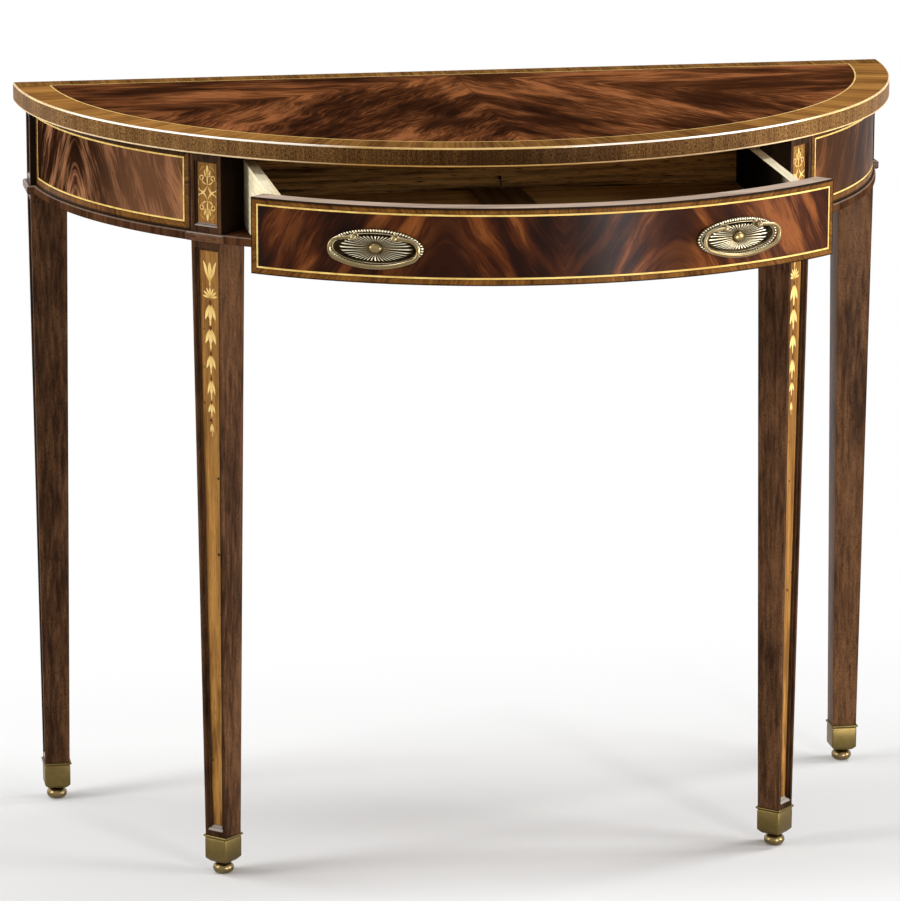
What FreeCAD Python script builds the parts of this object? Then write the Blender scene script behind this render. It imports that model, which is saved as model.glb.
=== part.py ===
import FreeCAD, Part
import math
import os

Vector = FreeCAD.Vector

# Overall sizes of the half-round table, in millimetres
TOP_RADIUS = 457.2
TABLE_HEIGHT = 762.0
TOP_THICKNESS = 18.8
OVERHANG = 15.7

# Veneers, stringing and banding
VENEER = 1.5
GLUE_LINE = 0.15
STRING_WIDTH = 1.7
TOP_BAND = 33.0
TOP_BACK_BAND = 24.0
FRIEZE_BAND = 8.0
DRAWER_BAND = 6.0

# Frieze, its moulding and the frame rails
FRIEZE_DEPTH = 80.9
FRIEZE_THICKNESS = 20.0
MOULDING_HEIGHT = 9.3
MOULDING_PROUD = 3.2
MOULDING_ROUND = 2.6
DRAWER_RAIL_WIDTH = 50.0
BACK_RAIL_THICKNESS = 20.0
GLUE_BLOCK_SIDE = 18.0
GLUE_BLOCK_LENGTH = 50.0
GLUE_BLOCK_SPREAD = 150.0
GLUE_BLOCK_TURNS = (-78.0, -66.0, -54.0)

# Legs: square blocks in the frieze, tapered below the collar
LEG_TOP = 37.8
LEG_BOTTOM = 25.8
FRONT_LEG_TURN = 45.0
FRONT_LEG_PROUD = 0.3
BACK_LEG_PROUD = 3.8
BACK_LEG_INSET = 8.5
COLLAR_PROUD = 4.0
COLLAR_RETURN = 12.0
ROUND_LIMIT = 0.8
LEVEL_TOLERANCE = 0.01

# Sunk panels on the outward face of every leg, a deep one below and a shallow one in the block
PANEL_RAIL = 3.8
PANEL_LEDGE = 2.6
PANEL_STEP = 2.5
PANEL_DEPTH = 5.0
PANEL_END = 7.0
BLOCK_RAIL = 5.0
BLOCK_LEDGE = 1.8
BLOCK_STEP = 1.4
BLOCK_DEPTH = 2.8
BLOCK_FOOT = 7.4
BLOCK_HEAD = 9.9

# Tenons that hold the friezes and the back rail in the legs
TENON_LENGTH = 16.0
TENON_CHEEK = 6.0
TENON_SHOULDER = 12.0

# Brass sabots and bun feet
SABOT_HEIGHT = 29.0
SABOT_PROUD = 0.6
SABOT_RIM_PROUD = 1.3
SABOT_RIM_HEIGHT = 4.0
SABOT_CHAMFER = 3.6
SABOT_SHOULDER = 1.9
SABOT_FLOOR = 4.0
FOOT_HEIGHT = 13.0
FOOT_DIAMETER = 21.4
FOOT_FLAT = 9.0
FOOT_NECK = 9.0
FOOT_NECK_HEIGHT = 1.6

# Drawer, shown open by the photographed amount
DRAWER_OPEN = 192.0
DRAWER_LENGTH = 380.0
DRAWER_FRONT_HEIGHT = 73.6
DRAWER_FRONT_THICKNESS = 20.0
DRAWER_SIDE_HEIGHT = 66.0
DRAWER_SIDE_THICKNESS = 10.5
DRAWER_BACK_THICKNESS = 10.0
DRAWER_BOTTOM_THICKNESS = 5.0
DRAWER_BOTTOM_RISE = 17.0
DRAWER_GROOVE = 4.0
DRAWER_TONGUE = 5.0
DRAWER_REBATE = 5.0
MUNTIN_WIDTH = 52.0
MUNTIN_LIP = 2.0
RUN_GAP = 0.3
END_GAP = 3.0
SIDE_GAP = 1.3

# Runners with their guides, and the kickers above the drawer sides
RUNNER_WIDTH = 26.0
GUIDE_GAP = 0.3
GUIDE_WIDTH = 13.0
GUIDE_HEIGHT = 24.0
KICKER_WIDTH = 24.0
KICKER_GAP = 0.8
KICKER_SETBACK = 26.0

# Oval handles with a hinged bail
HANDLE_TURN = 23.1
HANDLE_DROP = 3.0
PLATE_WIDTH = 92.0
PLATE_HEIGHT = 37.0
PLATE_THICKNESS = 1.4
PLATE_RIM_WIDTH = 3.2
PLATE_RIM_HEIGHT = 2.8
PLATE_FIELD_INSET = 6.4
PLATE_FIELD_HEIGHT = 2.1
PLATE_BOSS_RADIUS = 6.2
PLATE_BOSS_HEIGHT = 4.6
POST_SPACING = 39.0
POST_RISE = 11.0
POST_SHANK = 4.0
POST_COLLAR = 6.0
POST_EYE = 7.0
POST_EYE_LENGTH = 6.6
POST_TAIL = 1.5
POST_CLEARANCE = 0.15
NUT_DIAMETER = 9.0
NUT_THICKNESS = 4.0
BAIL_BAR = 4.0
BAIL_PIN = 3.0
BAIL_PIN_CLEARANCE = 0.05
BAIL_SIDE_GAP = 0.3
BAIL_STAND_OFF = 8.5
BAIL_TIP_RADIUS = 10.0
BAIL_TIP_SPACING = 66.0
BAIL_DROP = 16.5

# Heights and radii worked out from the driving sizes
UNDERSIDE = TABLE_HEIGHT - TOP_THICKNESS
CORE_TOP = TABLE_HEIGHT - VENEER
APRON_BOTTOM = UNDERSIDE - FRIEZE_DEPTH
FRAME_BOTTOM = APRON_BOTTOM - MOULDING_HEIGHT
FRIEZE_RADIUS = TOP_RADIUS - OVERHANG
FRIEZE_INNER = FRIEZE_RADIUS - FRIEZE_THICKNESS
SABOT_TOP = FOOT_HEIGHT + SABOT_HEIGHT
FIELD_RADIUS = TOP_RADIUS - VENEER - TOP_BAND - STRING_WIDTH
BLOCK_HALF = LEG_TOP / 2
SABOT_HALF = LEG_BOTTOM / 2 + SABOT_PROUD
TENON_HALF = LEG_BOTTOM / 2 - SABOT_SHOULDER

# Front legs stand with one side face on the radial line at their turn
LEG_NORMAL = FRIEZE_RADIUS + FRONT_LEG_PROUD - BLOCK_HALF
TURN_SIN = math.sin(math.radians(FRONT_LEG_TURN))
TURN_COS = math.cos(math.radians(FRONT_LEG_TURN))
FRONT_LEG_X = -LEG_NORMAL * TURN_SIN + BLOCK_HALF * TURN_COS
FRONT_LEG_Y = -LEG_NORMAL * TURN_COS - BLOCK_HALF * TURN_SIN
BACK_LEG_X = -(FRIEZE_RADIUS + BACK_LEG_PROUD - BLOCK_HALF)
BACK_LEG_Y = -(BACK_LEG_INSET + BLOCK_HALF)
BACK_LEG_FRONT = BACK_LEG_Y - BLOCK_HALF
BACK_RAIL_FRONT = -(BACK_LEG_INSET + BACK_RAIL_THICKNESS)
BACK_RAIL_REACH = -BACK_LEG_X - BLOCK_HALF
TENON_HEIGHTS = (APRON_BOTTOM + TENON_SHOULDER, UNDERSIDE - TENON_SHOULDER)

# Drawer places in the closed position
DRAWER_BOTTOM = APRON_BOTTOM + RUN_GAP
DRAWER_TOP = DRAWER_BOTTOM + DRAWER_FRONT_HEIGHT
SIDE_TOP = DRAWER_BOTTOM + DRAWER_SIDE_HEIGHT
PANEL_UNDER = DRAWER_BOTTOM + DRAWER_BOTTOM_RISE
PANEL_TOP = PANEL_UNDER + DRAWER_BOTTOM_THICKNESS
DRAWER_INNER = FRIEZE_RADIUS - DRAWER_FRONT_THICKNESS
BLOCK_INNER_X = FRONT_LEG_X + BLOCK_HALF * (TURN_SIN + TURN_COS)
DRAWER_HALF = -BLOCK_INNER_X - SIDE_GAP
SIDE_INNER = DRAWER_HALF - DRAWER_SIDE_THICKNESS
DRAWER_BACK_Y = -(FRIEZE_RADIUS - DRAWER_LENGTH)
BACK_INNER_Y = DRAWER_BACK_Y - DRAWER_BACK_THICKNESS
HANDLE_HEIGHT = (DRAWER_BOTTOM + DRAWER_TOP) / 2 - HANDLE_DROP

# The finished table is centred on its footprint with the drawer open
CENTRING = Vector(0, (FRIEZE_RADIUS + DRAWER_OPEN) / 2, 0)
PULL = Vector(0, -DRAWER_OPEN, 0)
ORIGIN = Vector(0, 0, 0)
UP = Vector(0, 0, 1)
ACROSS = Vector(1, 0, 0)
REACH = 2 * TOP_RADIUS


def box(x_range, y_range, z_range):
    """Return a block between three pairs of limits."""
    low = Vector(x_range[0], y_range[0], z_range[0])
    return Part.makeBox(x_range[1] - x_range[0], y_range[1] - y_range[0], z_range[1] - z_range[0], low)


def revolved(profile, turn_from, turn_to):
    """Sweep an edge list in the XZ plane about Z; turns are degrees right of the front."""
    face = Part.Face(Part.Wire(profile))
    face.rotate(ORIGIN, UP, turn_from - 90.0)
    return face.revolve(ORIGIN, UP, turn_to - turn_from)


def sector(r_in, r_out, z_range, turn_from, turn_to):
    """Return a ring sector with a rectangular section."""
    corners = [Vector(r_in, 0, z_range[0]), Vector(r_out, 0, z_range[0])]
    corners += [Vector(r_out, 0, z_range[1]), Vector(r_in, 0, z_range[1])]
    profile = Part.makePolygon(corners + corners[:1]).Edges
    return revolved(profile, turn_from, turn_to)


def half_disc(radius, back, z_range):
    """Return a half disc whose straight back edge lies at y = -back."""
    disc = sector(0.0, radius, z_range, -90.0, 90.0)
    if back > 0:
        disc = disc.cut(box((-REACH, REACH), (-back, REACH), z_range))
    return disc


def bead_ring(r_in, r_out, z_range, turn_from, turn_to):
    """Return a ring sector whose outer corners are rounded like a bead moulding."""
    low, high = z_range
    soft = MOULDING_ROUND
    slant = soft * (1.0 - math.sqrt(0.5))
    points = [Vector(r_in, 0, low), Vector(r_out - soft, 0, low), Vector(r_out, 0, low + soft)]
    points += [Vector(r_out, 0, high - soft), Vector(r_out - soft, 0, high), Vector(r_in, 0, high)]
    lower = Part.Arc(points[1], Vector(r_out - slant, 0, low + slant), points[2]).toShape()
    upper = Part.Arc(points[3], Vector(r_out - slant, 0, high - slant), points[4]).toShape()
    edges = [Part.makeLine(points[0], points[1]), lower, Part.makeLine(points[2], points[3])]
    edges += [upper, Part.makeLine(points[4], points[5]), Part.makeLine(points[5], points[0])]
    return revolved(edges, turn_from, turn_to)


def rectangle(x_range, y_range, z):
    """Return a closed rectangular wire at one height."""
    corners = [Vector(x_range[0], y_range[0], z), Vector(x_range[1], y_range[0], z)]
    corners += [Vector(x_range[1], y_range[1], z), Vector(x_range[0], y_range[1], z)]
    return Part.makePolygon(corners + corners[:1])


def square_taper(half_low, z_low, half_high, z_high):
    """Return a square bar that tapers evenly between two heights."""
    low = rectangle((-half_low, half_low), (-half_low, half_low), z_low)
    high = rectangle((-half_high, half_high), (-half_high, half_high), z_high)
    return Part.makeLoft([low, high], True, True)


def leg_half(z):
    """Return half the leg's width at a height on its tapered length."""
    share = (z - SABOT_TOP) / (FRAME_BOTTOM - SABOT_TOP)
    return (LEG_BOTTOM + (LEG_TOP - LEG_BOTTOM) * share) / 2


def block_half(z):
    """Return half the block's width, the same at every height."""
    return BLOCK_HALF


def sunk_layer(half_at, z_range, inset, depth_range):
    """Return the slab of a face panel between two depths behind the outward face."""
    wires = []
    for z in z_range:
        half = half_at(z)
        x_range = (inset - half, half - inset)
        y_range = (depth_range[0] - half, depth_range[1] - half)
        wires.append(rectangle(x_range, y_range, z))
    return Part.makeLoft(wires, True, True)


def stand(shape, turn, x, y):
    """Turn a piece about the vertical and stand it on its place."""
    placed = shape.copy()
    placed.rotate(ORIGIN, UP, turn)
    placed.translate(Vector(x, y, 0))
    return placed


def mirrored(shape):
    """Return the right-hand twin of a left-hand piece."""
    return shape.mirror(ORIGIN, ACROSS)


def leg_pieces():
    """Return a leg, its block inlay and its leg inlay, outward face towards -Y."""
    leg = square_taper(BLOCK_HALF, FRAME_BOTTOM, BLOCK_HALF, UNDERSIDE)
    leg = leg.fuse(square_taper(LEG_BOTTOM / 2, SABOT_TOP, BLOCK_HALF, FRAME_BOTTOM))
    tenon_foot = FOOT_HEIGHT + SABOT_FLOOR
    leg = leg.fuse(square_taper(TENON_HALF, tenon_foot, TENON_HALF, SABOT_TOP)).removeSplitter()
    block_span = (block_half, APRON_BOTTOM + BLOCK_FOOT, UNDERSIDE - BLOCK_HEAD)
    block_sizes = (BLOCK_RAIL, BLOCK_LEDGE, BLOCK_STEP, BLOCK_DEPTH)
    leg_span = (leg_half, SABOT_TOP + PANEL_END, FRAME_BOTTOM - PANEL_END)
    leg_sizes = (PANEL_RAIL, PANEL_LEDGE, PANEL_STEP, PANEL_DEPTH)
    inlays = []
    for span, sizes in ((block_span, block_sizes), (leg_span, leg_sizes)):
        half_at, low, high = span
        rail, ledge, step, depth = sizes
        inner = (low + ledge, high - ledge)
        leg = leg.cut(sunk_layer(half_at, (low, high), rail, (-depth, step)))
        leg = leg.cut(sunk_layer(half_at, inner, rail + ledge, (-depth, depth + VENEER)))
        inlays.append(sunk_layer(half_at, inner, rail + ledge, (depth, depth + VENEER)))
    return leg, inlays[0], inlays[1]


def rail_tenon():
    """Return the back rail's left tenon."""
    cheeks = (BACK_RAIL_FRONT + TENON_CHEEK, -BACK_LEG_INSET - TENON_CHEEK)
    return box((-BACK_RAIL_REACH - TENON_LENGTH, -BACK_RAIL_REACH), cheeks, TENON_HEIGHTS)


def frieze_tenons():
    """Return the left frieze's straight tenons into its back leg and its front leg."""
    outer = FRIEZE_RADIUS - VENEER - TENON_CHEEK
    inner = FRIEZE_INNER + TENON_CHEEK
    cheeks = [-math.sqrt(radius ** 2 - BACK_LEG_FRONT ** 2) for radius in (outer, inner)]
    back = box(cheeks, (BACK_LEG_FRONT, BACK_LEG_FRONT + TENON_LENGTH), TENON_HEIGHTS)
    front = box((0.0, TENON_LENGTH), (-outer, -inner), TENON_HEIGHTS)
    return back, stand(front, -FRONT_LEG_TURN, 0, 0)


def is_level(edge):
    """Tell whether both ends of an edge lie at one height."""
    return abs(edge.Vertexes[0].Z - edge.Vertexes[1].Z) < LEVEL_TOLERANCE


def collar_envelope():
    """Return the block of space that a leg's collar fills, leg included."""
    reach = BLOCK_HALF + COLLAR_PROUD
    back = COLLAR_RETURN - BLOCK_HALF
    return box((-reach, reach), (-reach, back), (FRAME_BOTTOM, APRON_BOTTOM))


def collar():
    """Return the moulded collar that wraps three faces of a leg's block."""
    reach = BLOCK_HALF + COLLAR_PROUD
    ring = box((-reach, reach), (-reach, reach), (FRAME_BOTTOM, APRON_BOTTOM))
    rims = []
    for edge in ring.Edges:
        if is_level(edge):
            rims.append(edge)
    ring = ring.makeFillet(min(MOULDING_ROUND, COLLAR_PROUD * ROUND_LIMIT), rims)
    ring = ring.common(collar_envelope())
    return ring.cut(square_taper(BLOCK_HALF, FRAME_BOTTOM, BLOCK_HALF, APRON_BOTTOM))


def sabot():
    """Return a brass leg cap with a beaded rim, a chamfered foot and its socket."""
    foot = FOOT_HEIGHT
    shoulder = foot + SABOT_CHAMFER
    cap = square_taper(SABOT_HALF - SABOT_CHAMFER, foot, SABOT_HALF, shoulder)
    cap = cap.fuse(square_taper(SABOT_HALF, shoulder, SABOT_HALF, SABOT_TOP))
    rim_half = SABOT_HALF + SABOT_RIM_PROUD
    rim_low = SABOT_TOP - SABOT_RIM_HEIGHT
    rim = box((-rim_half, rim_half), (-rim_half, rim_half), (rim_low, SABOT_TOP))
    edges = []
    for edge in rim.Edges:
        if is_level(edge):
            edges.append(edge)
    rim = rim.makeFillet(SABOT_RIM_PROUD, edges)
    cap = cap.fuse(rim).removeSplitter()
    return cap.cut(square_taper(TENON_HALF, foot + SABOT_FLOOR, TENON_HALF, SABOT_TOP))


def bun_foot():
    """Return one turned bun foot with a flat seat and a short neck."""
    flat = FOOT_FLAT / 2
    neck = FOOT_NECK / 2
    bulge = FOOT_DIAMETER / 2
    shoulder = FOOT_HEIGHT - FOOT_NECK_HEIGHT
    base = Vector(flat, 0, 0)
    widest = Vector(bulge, 0, shoulder / 2)
    gather = Vector(neck, 0, shoulder)
    edges = [Part.makeLine(ORIGIN, base), Part.Arc(base, widest, gather).toShape()]
    edges += [Part.makeLine(gather, Vector(neck, 0, FOOT_HEIGHT))]
    edges += [Part.makeLine(Vector(neck, 0, FOOT_HEIGHT), Vector(0, 0, FOOT_HEIGHT))]
    edges += [Part.makeLine(Vector(0, 0, FOOT_HEIGHT), ORIGIN)]
    return Part.Face(Part.Wire(edges)).revolve(ORIGIN, UP, 360.0)


def between_blocks(gap, z_range):
    """Return the wedge of space between the front legs' facing sides, less a gap."""
    lead = BLOCK_HALF * (TURN_COS + TURN_SIN)
    slope = TURN_SIN / TURN_COS
    arris_x = FRONT_LEG_X + BLOCK_HALF * (TURN_COS - TURN_SIN) + gap * TURN_COS
    arris_y = FRONT_LEG_Y - lead - gap * TURN_SIN
    far, near = -REACH, -DRAWER_HALF / 2
    wide = arris_x + (far - arris_y) * slope
    slim = arris_x + (near - arris_y) * slope
    corners = [Vector(wide, far, z_range[0]), Vector(-wide, far, z_range[0])]
    corners += [Vector(-slim, near, z_range[0]), Vector(slim, near, z_range[0])]
    face = Part.Face(Part.makePolygon(corners + corners[:1]))
    return face.extrude(Vector(0, 0, z_range[1] - z_range[0]))


def build_top():
    """Return the veneered half-round top: core, field, bands and strings."""
    skin = (CORE_TOP, TABLE_HEIGHT)
    rim = TOP_RADIUS - VENEER
    joint = FIELD_RADIUS + STRING_WIDTH
    inner_back = TOP_BACK_BAND + STRING_WIDTH
    pieces = {"top_core": half_disc(rim, 0.0, (UNDERSIDE, CORE_TOP))}
    pieces["top_field_veneer"] = half_disc(FIELD_RADIUS - GLUE_LINE, inner_back, skin)
    loop = half_disc(joint - GLUE_LINE, TOP_BACK_BAND, skin)
    pieces["top_string"] = loop.cut(half_disc(FIELD_RADIUS, inner_back, skin))
    front_band = sector(joint, rim, skin, -90.0, 90.0)
    back_band = half_disc(joint - GLUE_LINE, 0.0, skin).cut(half_disc(joint, TOP_BACK_BAND, skin))
    pieces["top_crossband"] = Part.makeCompound([front_band, back_band])
    edge = (rim + GLUE_LINE, TOP_RADIUS)
    low_string = (UNDERSIDE, UNDERSIDE + STRING_WIDTH)
    high_string = (TABLE_HEIGHT - STRING_WIDTH, TABLE_HEIGHT)
    pieces["edge_band"] = sector(*edge, (low_string[1], high_string[0]), -90.0, 90.0)
    strings = [sector(*edge, low_string, -90.0, 90.0), sector(*edge, high_string, -90.0, 90.0)]
    pieces["edge_strings"] = Part.makeCompound(strings)
    return pieces


def banded_panel(name, turn_from, turn_to, z_range, band, keep):
    """Return the field veneer, string and crossband of one curved panel."""
    shell = (FRIEZE_RADIUS - VENEER + GLUE_LINE, FRIEZE_RADIUS)
    layers = []
    for inset in (0.0, band, band + STRING_WIDTH):
        swing = math.degrees(inset / FRIEZE_RADIUS)
        heights = (z_range[0] + inset, z_range[1] - inset)
        layers.append(sector(*shell, heights, turn_from + swing, turn_to - swing))
    layers[0] = layers[0].common(keep)
    pieces = {name + "_band": layers[0].cut(layers[1])}
    pieces[name + "_string"] = layers[1].cut(layers[2])
    pieces[name + "_veneer"] = layers[2]
    return pieces


def build_legs():
    """Return the four legs with their inlays, collars, sabots and feet."""
    leg, block_inlay, leg_inlay = leg_pieces()
    back_tenon, front_tenon = frieze_tenons()
    mortises = {"front": [front_tenon], "back": [back_tenon, rail_tenon()]}
    pieces = {}
    feet = []
    stations = {"front": (-FRONT_LEG_TURN, FRONT_LEG_X, FRONT_LEG_Y)}
    stations["back"] = (-90.0, BACK_LEG_X, BACK_LEG_Y)
    parts = {"leg": leg, "block_inlay": block_inlay, "leg_inlay": leg_inlay}
    parts["collar"] = collar()
    parts["sabot"] = sabot()
    for row, place in stations.items():
        for name, shape in parts.items():
            left = stand(shape, *place)
            if name == "leg":
                left = left.cut(mortises[row])
            pieces[row + "_left_" + name] = left
            pieces[row + "_right_" + name] = mirrored(left)
        foot = stand(bun_foot(), *place)
        feet += [foot, mirrored(foot)]
    pieces["bun_feet"] = Part.makeCompound(feet)
    return pieces


def build_frieze():
    """Return the curved friezes with their veneers and bottom mouldings."""
    heights = (APRON_BOTTOM, UNDERSIDE)
    ahead = box((-REACH, REACH), (-REACH, BACK_LEG_FRONT), (FRAME_BOTTOM, UNDERSIDE))
    board = sector(FRIEZE_INNER, FRIEZE_RADIUS - VENEER, heights, -90.0, -FRONT_LEG_TURN)
    pieces = {"left_frieze": board.common(ahead).fuse(list(frieze_tenons()))}
    back_turn = math.degrees(math.acos(-BACK_LEG_FRONT / FRIEZE_RADIUS))
    panel = banded_panel("left_frieze", -back_turn, -FRONT_LEG_TURN, heights, FRIEZE_BAND, ahead)
    pieces.update(panel)
    rim = FRIEZE_RADIUS + MOULDING_PROUD
    moulding = bead_ring(FRIEZE_INNER, rim, (FRAME_BOTTOM, APRON_BOTTOM), -90.0, -FRONT_LEG_TURN)
    moulding = moulding.common(ahead)
    moulding = moulding.cut(stand(collar_envelope(), -FRONT_LEG_TURN, FRONT_LEG_X, FRONT_LEG_Y))
    moulding = moulding.cut(stand(collar_envelope(), -90.0, BACK_LEG_X, BACK_LEG_Y))
    pieces["left_moulding"] = moulding
    for name in list(pieces):
        pieces[name.replace("left", "right")] = mirrored(pieces[name])
    return pieces


def build_frame():
    """Return the rails, runners, kickers and glue blocks inside the frieze."""
    rail_depth = (BACK_RAIL_FRONT, -BACK_LEG_INSET)
    back_rail = box((-BACK_RAIL_REACH, BACK_RAIL_REACH), rail_depth, (FRAME_BOTTOM, UNDERSIDE))
    tenon = rail_tenon()
    pieces = {"back_rail": back_rail.fuse([tenon, mirrored(tenon)])}
    flat = (FRAME_BOTTOM, APRON_BOTTOM)
    rim = FRIEZE_RADIUS + MOULDING_PROUD
    rail = bead_ring(rim - DRAWER_RAIL_WIDTH, rim, flat, -FRONT_LEG_TURN, FRONT_LEG_TURN)
    rail = rail.common(between_blocks(0.0, flat))
    wrap = stand(collar_envelope(), -FRONT_LEG_TURN, FRONT_LEG_X, FRONT_LEG_Y)
    pieces["drawer_rail"] = rail.cut(wrap).cut(mirrored(wrap))
    guide_face = -(DRAWER_HALF + GUIDE_GAP)
    outer = guide_face - GUIDE_WIDTH
    inner = RUNNER_WIDTH - DRAWER_HALF
    runner = box((outer, inner), (-REACH, BACK_RAIL_FRONT), flat)
    runner = runner.common(Part.makeCylinder(rim - DRAWER_RAIL_WIDTH - GLUE_LINE, TABLE_HEIGHT))
    guide_front = FRONT_LEG_Y + BLOCK_HALF * (TURN_SIN + TURN_COS)
    guide_height = (APRON_BOTTOM, APRON_BOTTOM + GUIDE_HEIGHT)
    guide = box((outer, guide_face), (guide_front, BACK_RAIL_FRONT), guide_height)
    pieces["left_runner"] = runner.fuse(guide).removeSplitter()
    kicker_front = KICKER_SETBACK - math.sqrt(DRAWER_INNER ** 2 - DRAWER_HALF ** 2)
    kicker_width = (-DRAWER_HALF, KICKER_WIDTH - DRAWER_HALF)
    kicker_height = (SIDE_TOP + KICKER_GAP, UNDERSIDE)
    pieces["left_kicker"] = box(kicker_width, (kicker_front, BACK_RAIL_FRONT), kicker_height)
    for name in ("left_runner", "left_kicker"):
        pieces[name.replace("left", "right")] = mirrored(pieces[name])
    pieces["glue_blocks"] = Part.makeCompound(glue_blocks())
    return pieces


def glue_blocks():
    """Return triangular blocks that hold the top to the friezes and the back rail."""
    side = GLUE_BLOCK_SIDE
    wall = FRIEZE_INNER - GLUE_LINE
    triangle = [Vector(wall, 0, UNDERSIDE), Vector(wall - side, 0, UNDERSIDE)]
    triangle += [Vector(wall, 0, UNDERSIDE - side)]
    swing = math.degrees(GLUE_BLOCK_LENGTH / wall) / 2
    blocks = []
    for turn in GLUE_BLOCK_TURNS:
        profile = Part.makePolygon(triangle + triangle[:1]).Edges
        block = revolved(profile, turn - swing, turn + swing)
        blocks += [block, mirrored(block)]
    start = Vector(-GLUE_BLOCK_SPREAD - GLUE_BLOCK_LENGTH / 2, BACK_RAIL_FRONT, UNDERSIDE)
    straight = [start, start + Vector(0, -side, 0), start + Vector(0, 0, -side)]
    face = Part.Face(Part.makePolygon(straight + straight[:1]))
    block = face.extrude(Vector(GLUE_BLOCK_LENGTH, 0, 0))
    blocks += [block, mirrored(block)]
    return blocks


def build_drawer_box():
    """Return the closed drawer: bowed front with its veneers, sides, back and bottom."""
    heights = (DRAWER_BOTTOM, DRAWER_TOP)
    ends = between_blocks(END_GAP, heights)
    swing = math.degrees(math.asin(-FRONT_LEG_X / FRIEZE_RADIUS))
    front = sector(DRAWER_INNER, FRIEZE_RADIUS - VENEER, heights, -swing, swing).common(ends)
    skin = sector(FRIEZE_RADIUS - VENEER, FRIEZE_RADIUS, heights, -swing, swing).common(ends)
    half_turn = math.degrees(math.asin(skin.BoundBox.XMax / FRIEZE_RADIUS))
    pieces = banded_panel("drawer_front", -half_turn, half_turn, heights, DRAWER_BAND, ends)
    within = Part.makeCylinder(DRAWER_INNER - GLUE_LINE, TABLE_HEIGHT)
    groove = Part.makeCylinder(DRAWER_INNER + DRAWER_GROOVE, TABLE_HEIGHT)
    panel_reach = Part.makeCylinder(DRAWER_INNER + DRAWER_GROOVE - GLUE_LINE, TABLE_HEIGHT)
    side_height = (DRAWER_BOTTOM, SIDE_TOP)
    side = box((-DRAWER_HALF, -SIDE_INNER), (-REACH, DRAWER_BACK_Y), side_height)
    tongue = box((-SIDE_INNER - DRAWER_TONGUE, -SIDE_INNER), (-REACH, DRAWER_BACK_Y), side_height)
    side = side.common(within).fuse(tongue.common(panel_reach)).removeSplitter()
    housing = tongue.common(groove)
    panel_width = (-SIDE_INNER - DRAWER_GROOVE, DRAWER_GROOVE - MUNTIN_WIDTH / 2)
    blank = box(panel_width, (-REACH, DRAWER_BACK_Y), (PANEL_UNDER, PANEL_TOP))
    panel = blank.common(panel_reach)
    slot = blank.common(groove)
    muntin_height = (PANEL_UNDER - MUNTIN_LIP, PANEL_TOP + MUNTIN_LIP)
    muntin_width = (-MUNTIN_WIDTH / 2, MUNTIN_WIDTH / 2)
    muntin = box(muntin_width, (-REACH, BACK_INNER_Y), muntin_height).common(within)
    back_reach = SIDE_INNER + DRAWER_REBATE
    back = box((-back_reach, back_reach), (BACK_INNER_Y, DRAWER_BACK_Y), (PANEL_TOP, SIDE_TOP))
    other = mirrored(panel)
    pieces["drawer_front"] = front.cut([slot, mirrored(slot), housing, mirrored(housing)])
    pieces["drawer_left_side"] = side.cut([panel, back])
    pieces["drawer_right_side"] = mirrored(pieces["drawer_left_side"])
    pieces["drawer_left_bottom"] = panel
    pieces["drawer_right_bottom"] = other
    pieces["drawer_muntin"] = muntin.cut(panel).cut(other)
    pieces["drawer_back"] = back
    return pieces


def oval(inset, r_in, r_out):
    """Return an oval slab bent to the drawer front, between two radii."""
    long_half = PLATE_WIDTH / 2 - inset
    short_half = PLATE_HEIGHT / 2 - inset
    edge = Part.Ellipse(ORIGIN, long_half, short_half).toShape()
    face = Part.Face(Part.Wire([edge]))
    prism = face.extrude(Vector(0, 0, FRIEZE_RADIUS))
    prism.rotate(ORIGIN, ACROSS, 90.0)
    prism.translate(Vector(0, -DRAWER_INNER / 2, HANDLE_HEIGHT))
    swing = math.degrees(PLATE_WIDTH / FRIEZE_RADIUS)
    heights = (HANDLE_HEIGHT - PLATE_HEIGHT, HANDLE_HEIGHT + PLATE_HEIGHT)
    return sector(r_in, r_out, heights, -swing, swing).common(prism)


def handle_plate(grow):
    """Return the oval backplate: rim bead, raised field and boss, its relief grown by a gap."""
    face = FRIEZE_RADIUS + GLUE_LINE
    plate = oval(0.0, face, face + PLATE_THICKNESS + grow)
    rim = oval(0.0, face, face + PLATE_RIM_HEIGHT + grow)
    rim = rim.cut(oval(PLATE_RIM_WIDTH + grow, face - PLATE_THICKNESS, face + 2 * PLATE_RIM_HEIGHT))
    field = oval(PLATE_FIELD_INSET - grow, face, face + PLATE_FIELD_HEIGHT + grow)
    dome_rise = PLATE_BOSS_HEIGHT - PLATE_THICKNESS
    dome_radius = (PLATE_BOSS_RADIUS ** 2 + dome_rise ** 2) / (2 * dome_rise)
    centre = Vector(0, -(face + PLATE_BOSS_HEIGHT - dome_radius), HANDLE_HEIGHT)
    boss = Part.makeSphere(dome_radius, centre)
    beyond = face + PLATE_THICKNESS / 2
    slab = (HANDLE_HEIGHT - dome_radius, HANDLE_HEIGHT + dome_radius)
    boss = boss.common(box((-dome_radius, dome_radius), (-face - dome_radius, -beyond), slab))
    return plate.fuse([rim, field, boss]).removeSplitter()


def rod(radius, x, depth_from, depth_to, z):
    """Return a round bar square to the drawer front, between two depths outside it."""
    start = Vector(x, -(FRIEZE_RADIUS + depth_from), z)
    return Part.makeCylinder(radius, depth_to - depth_from, start, Vector(0, -1, 0))


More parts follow.
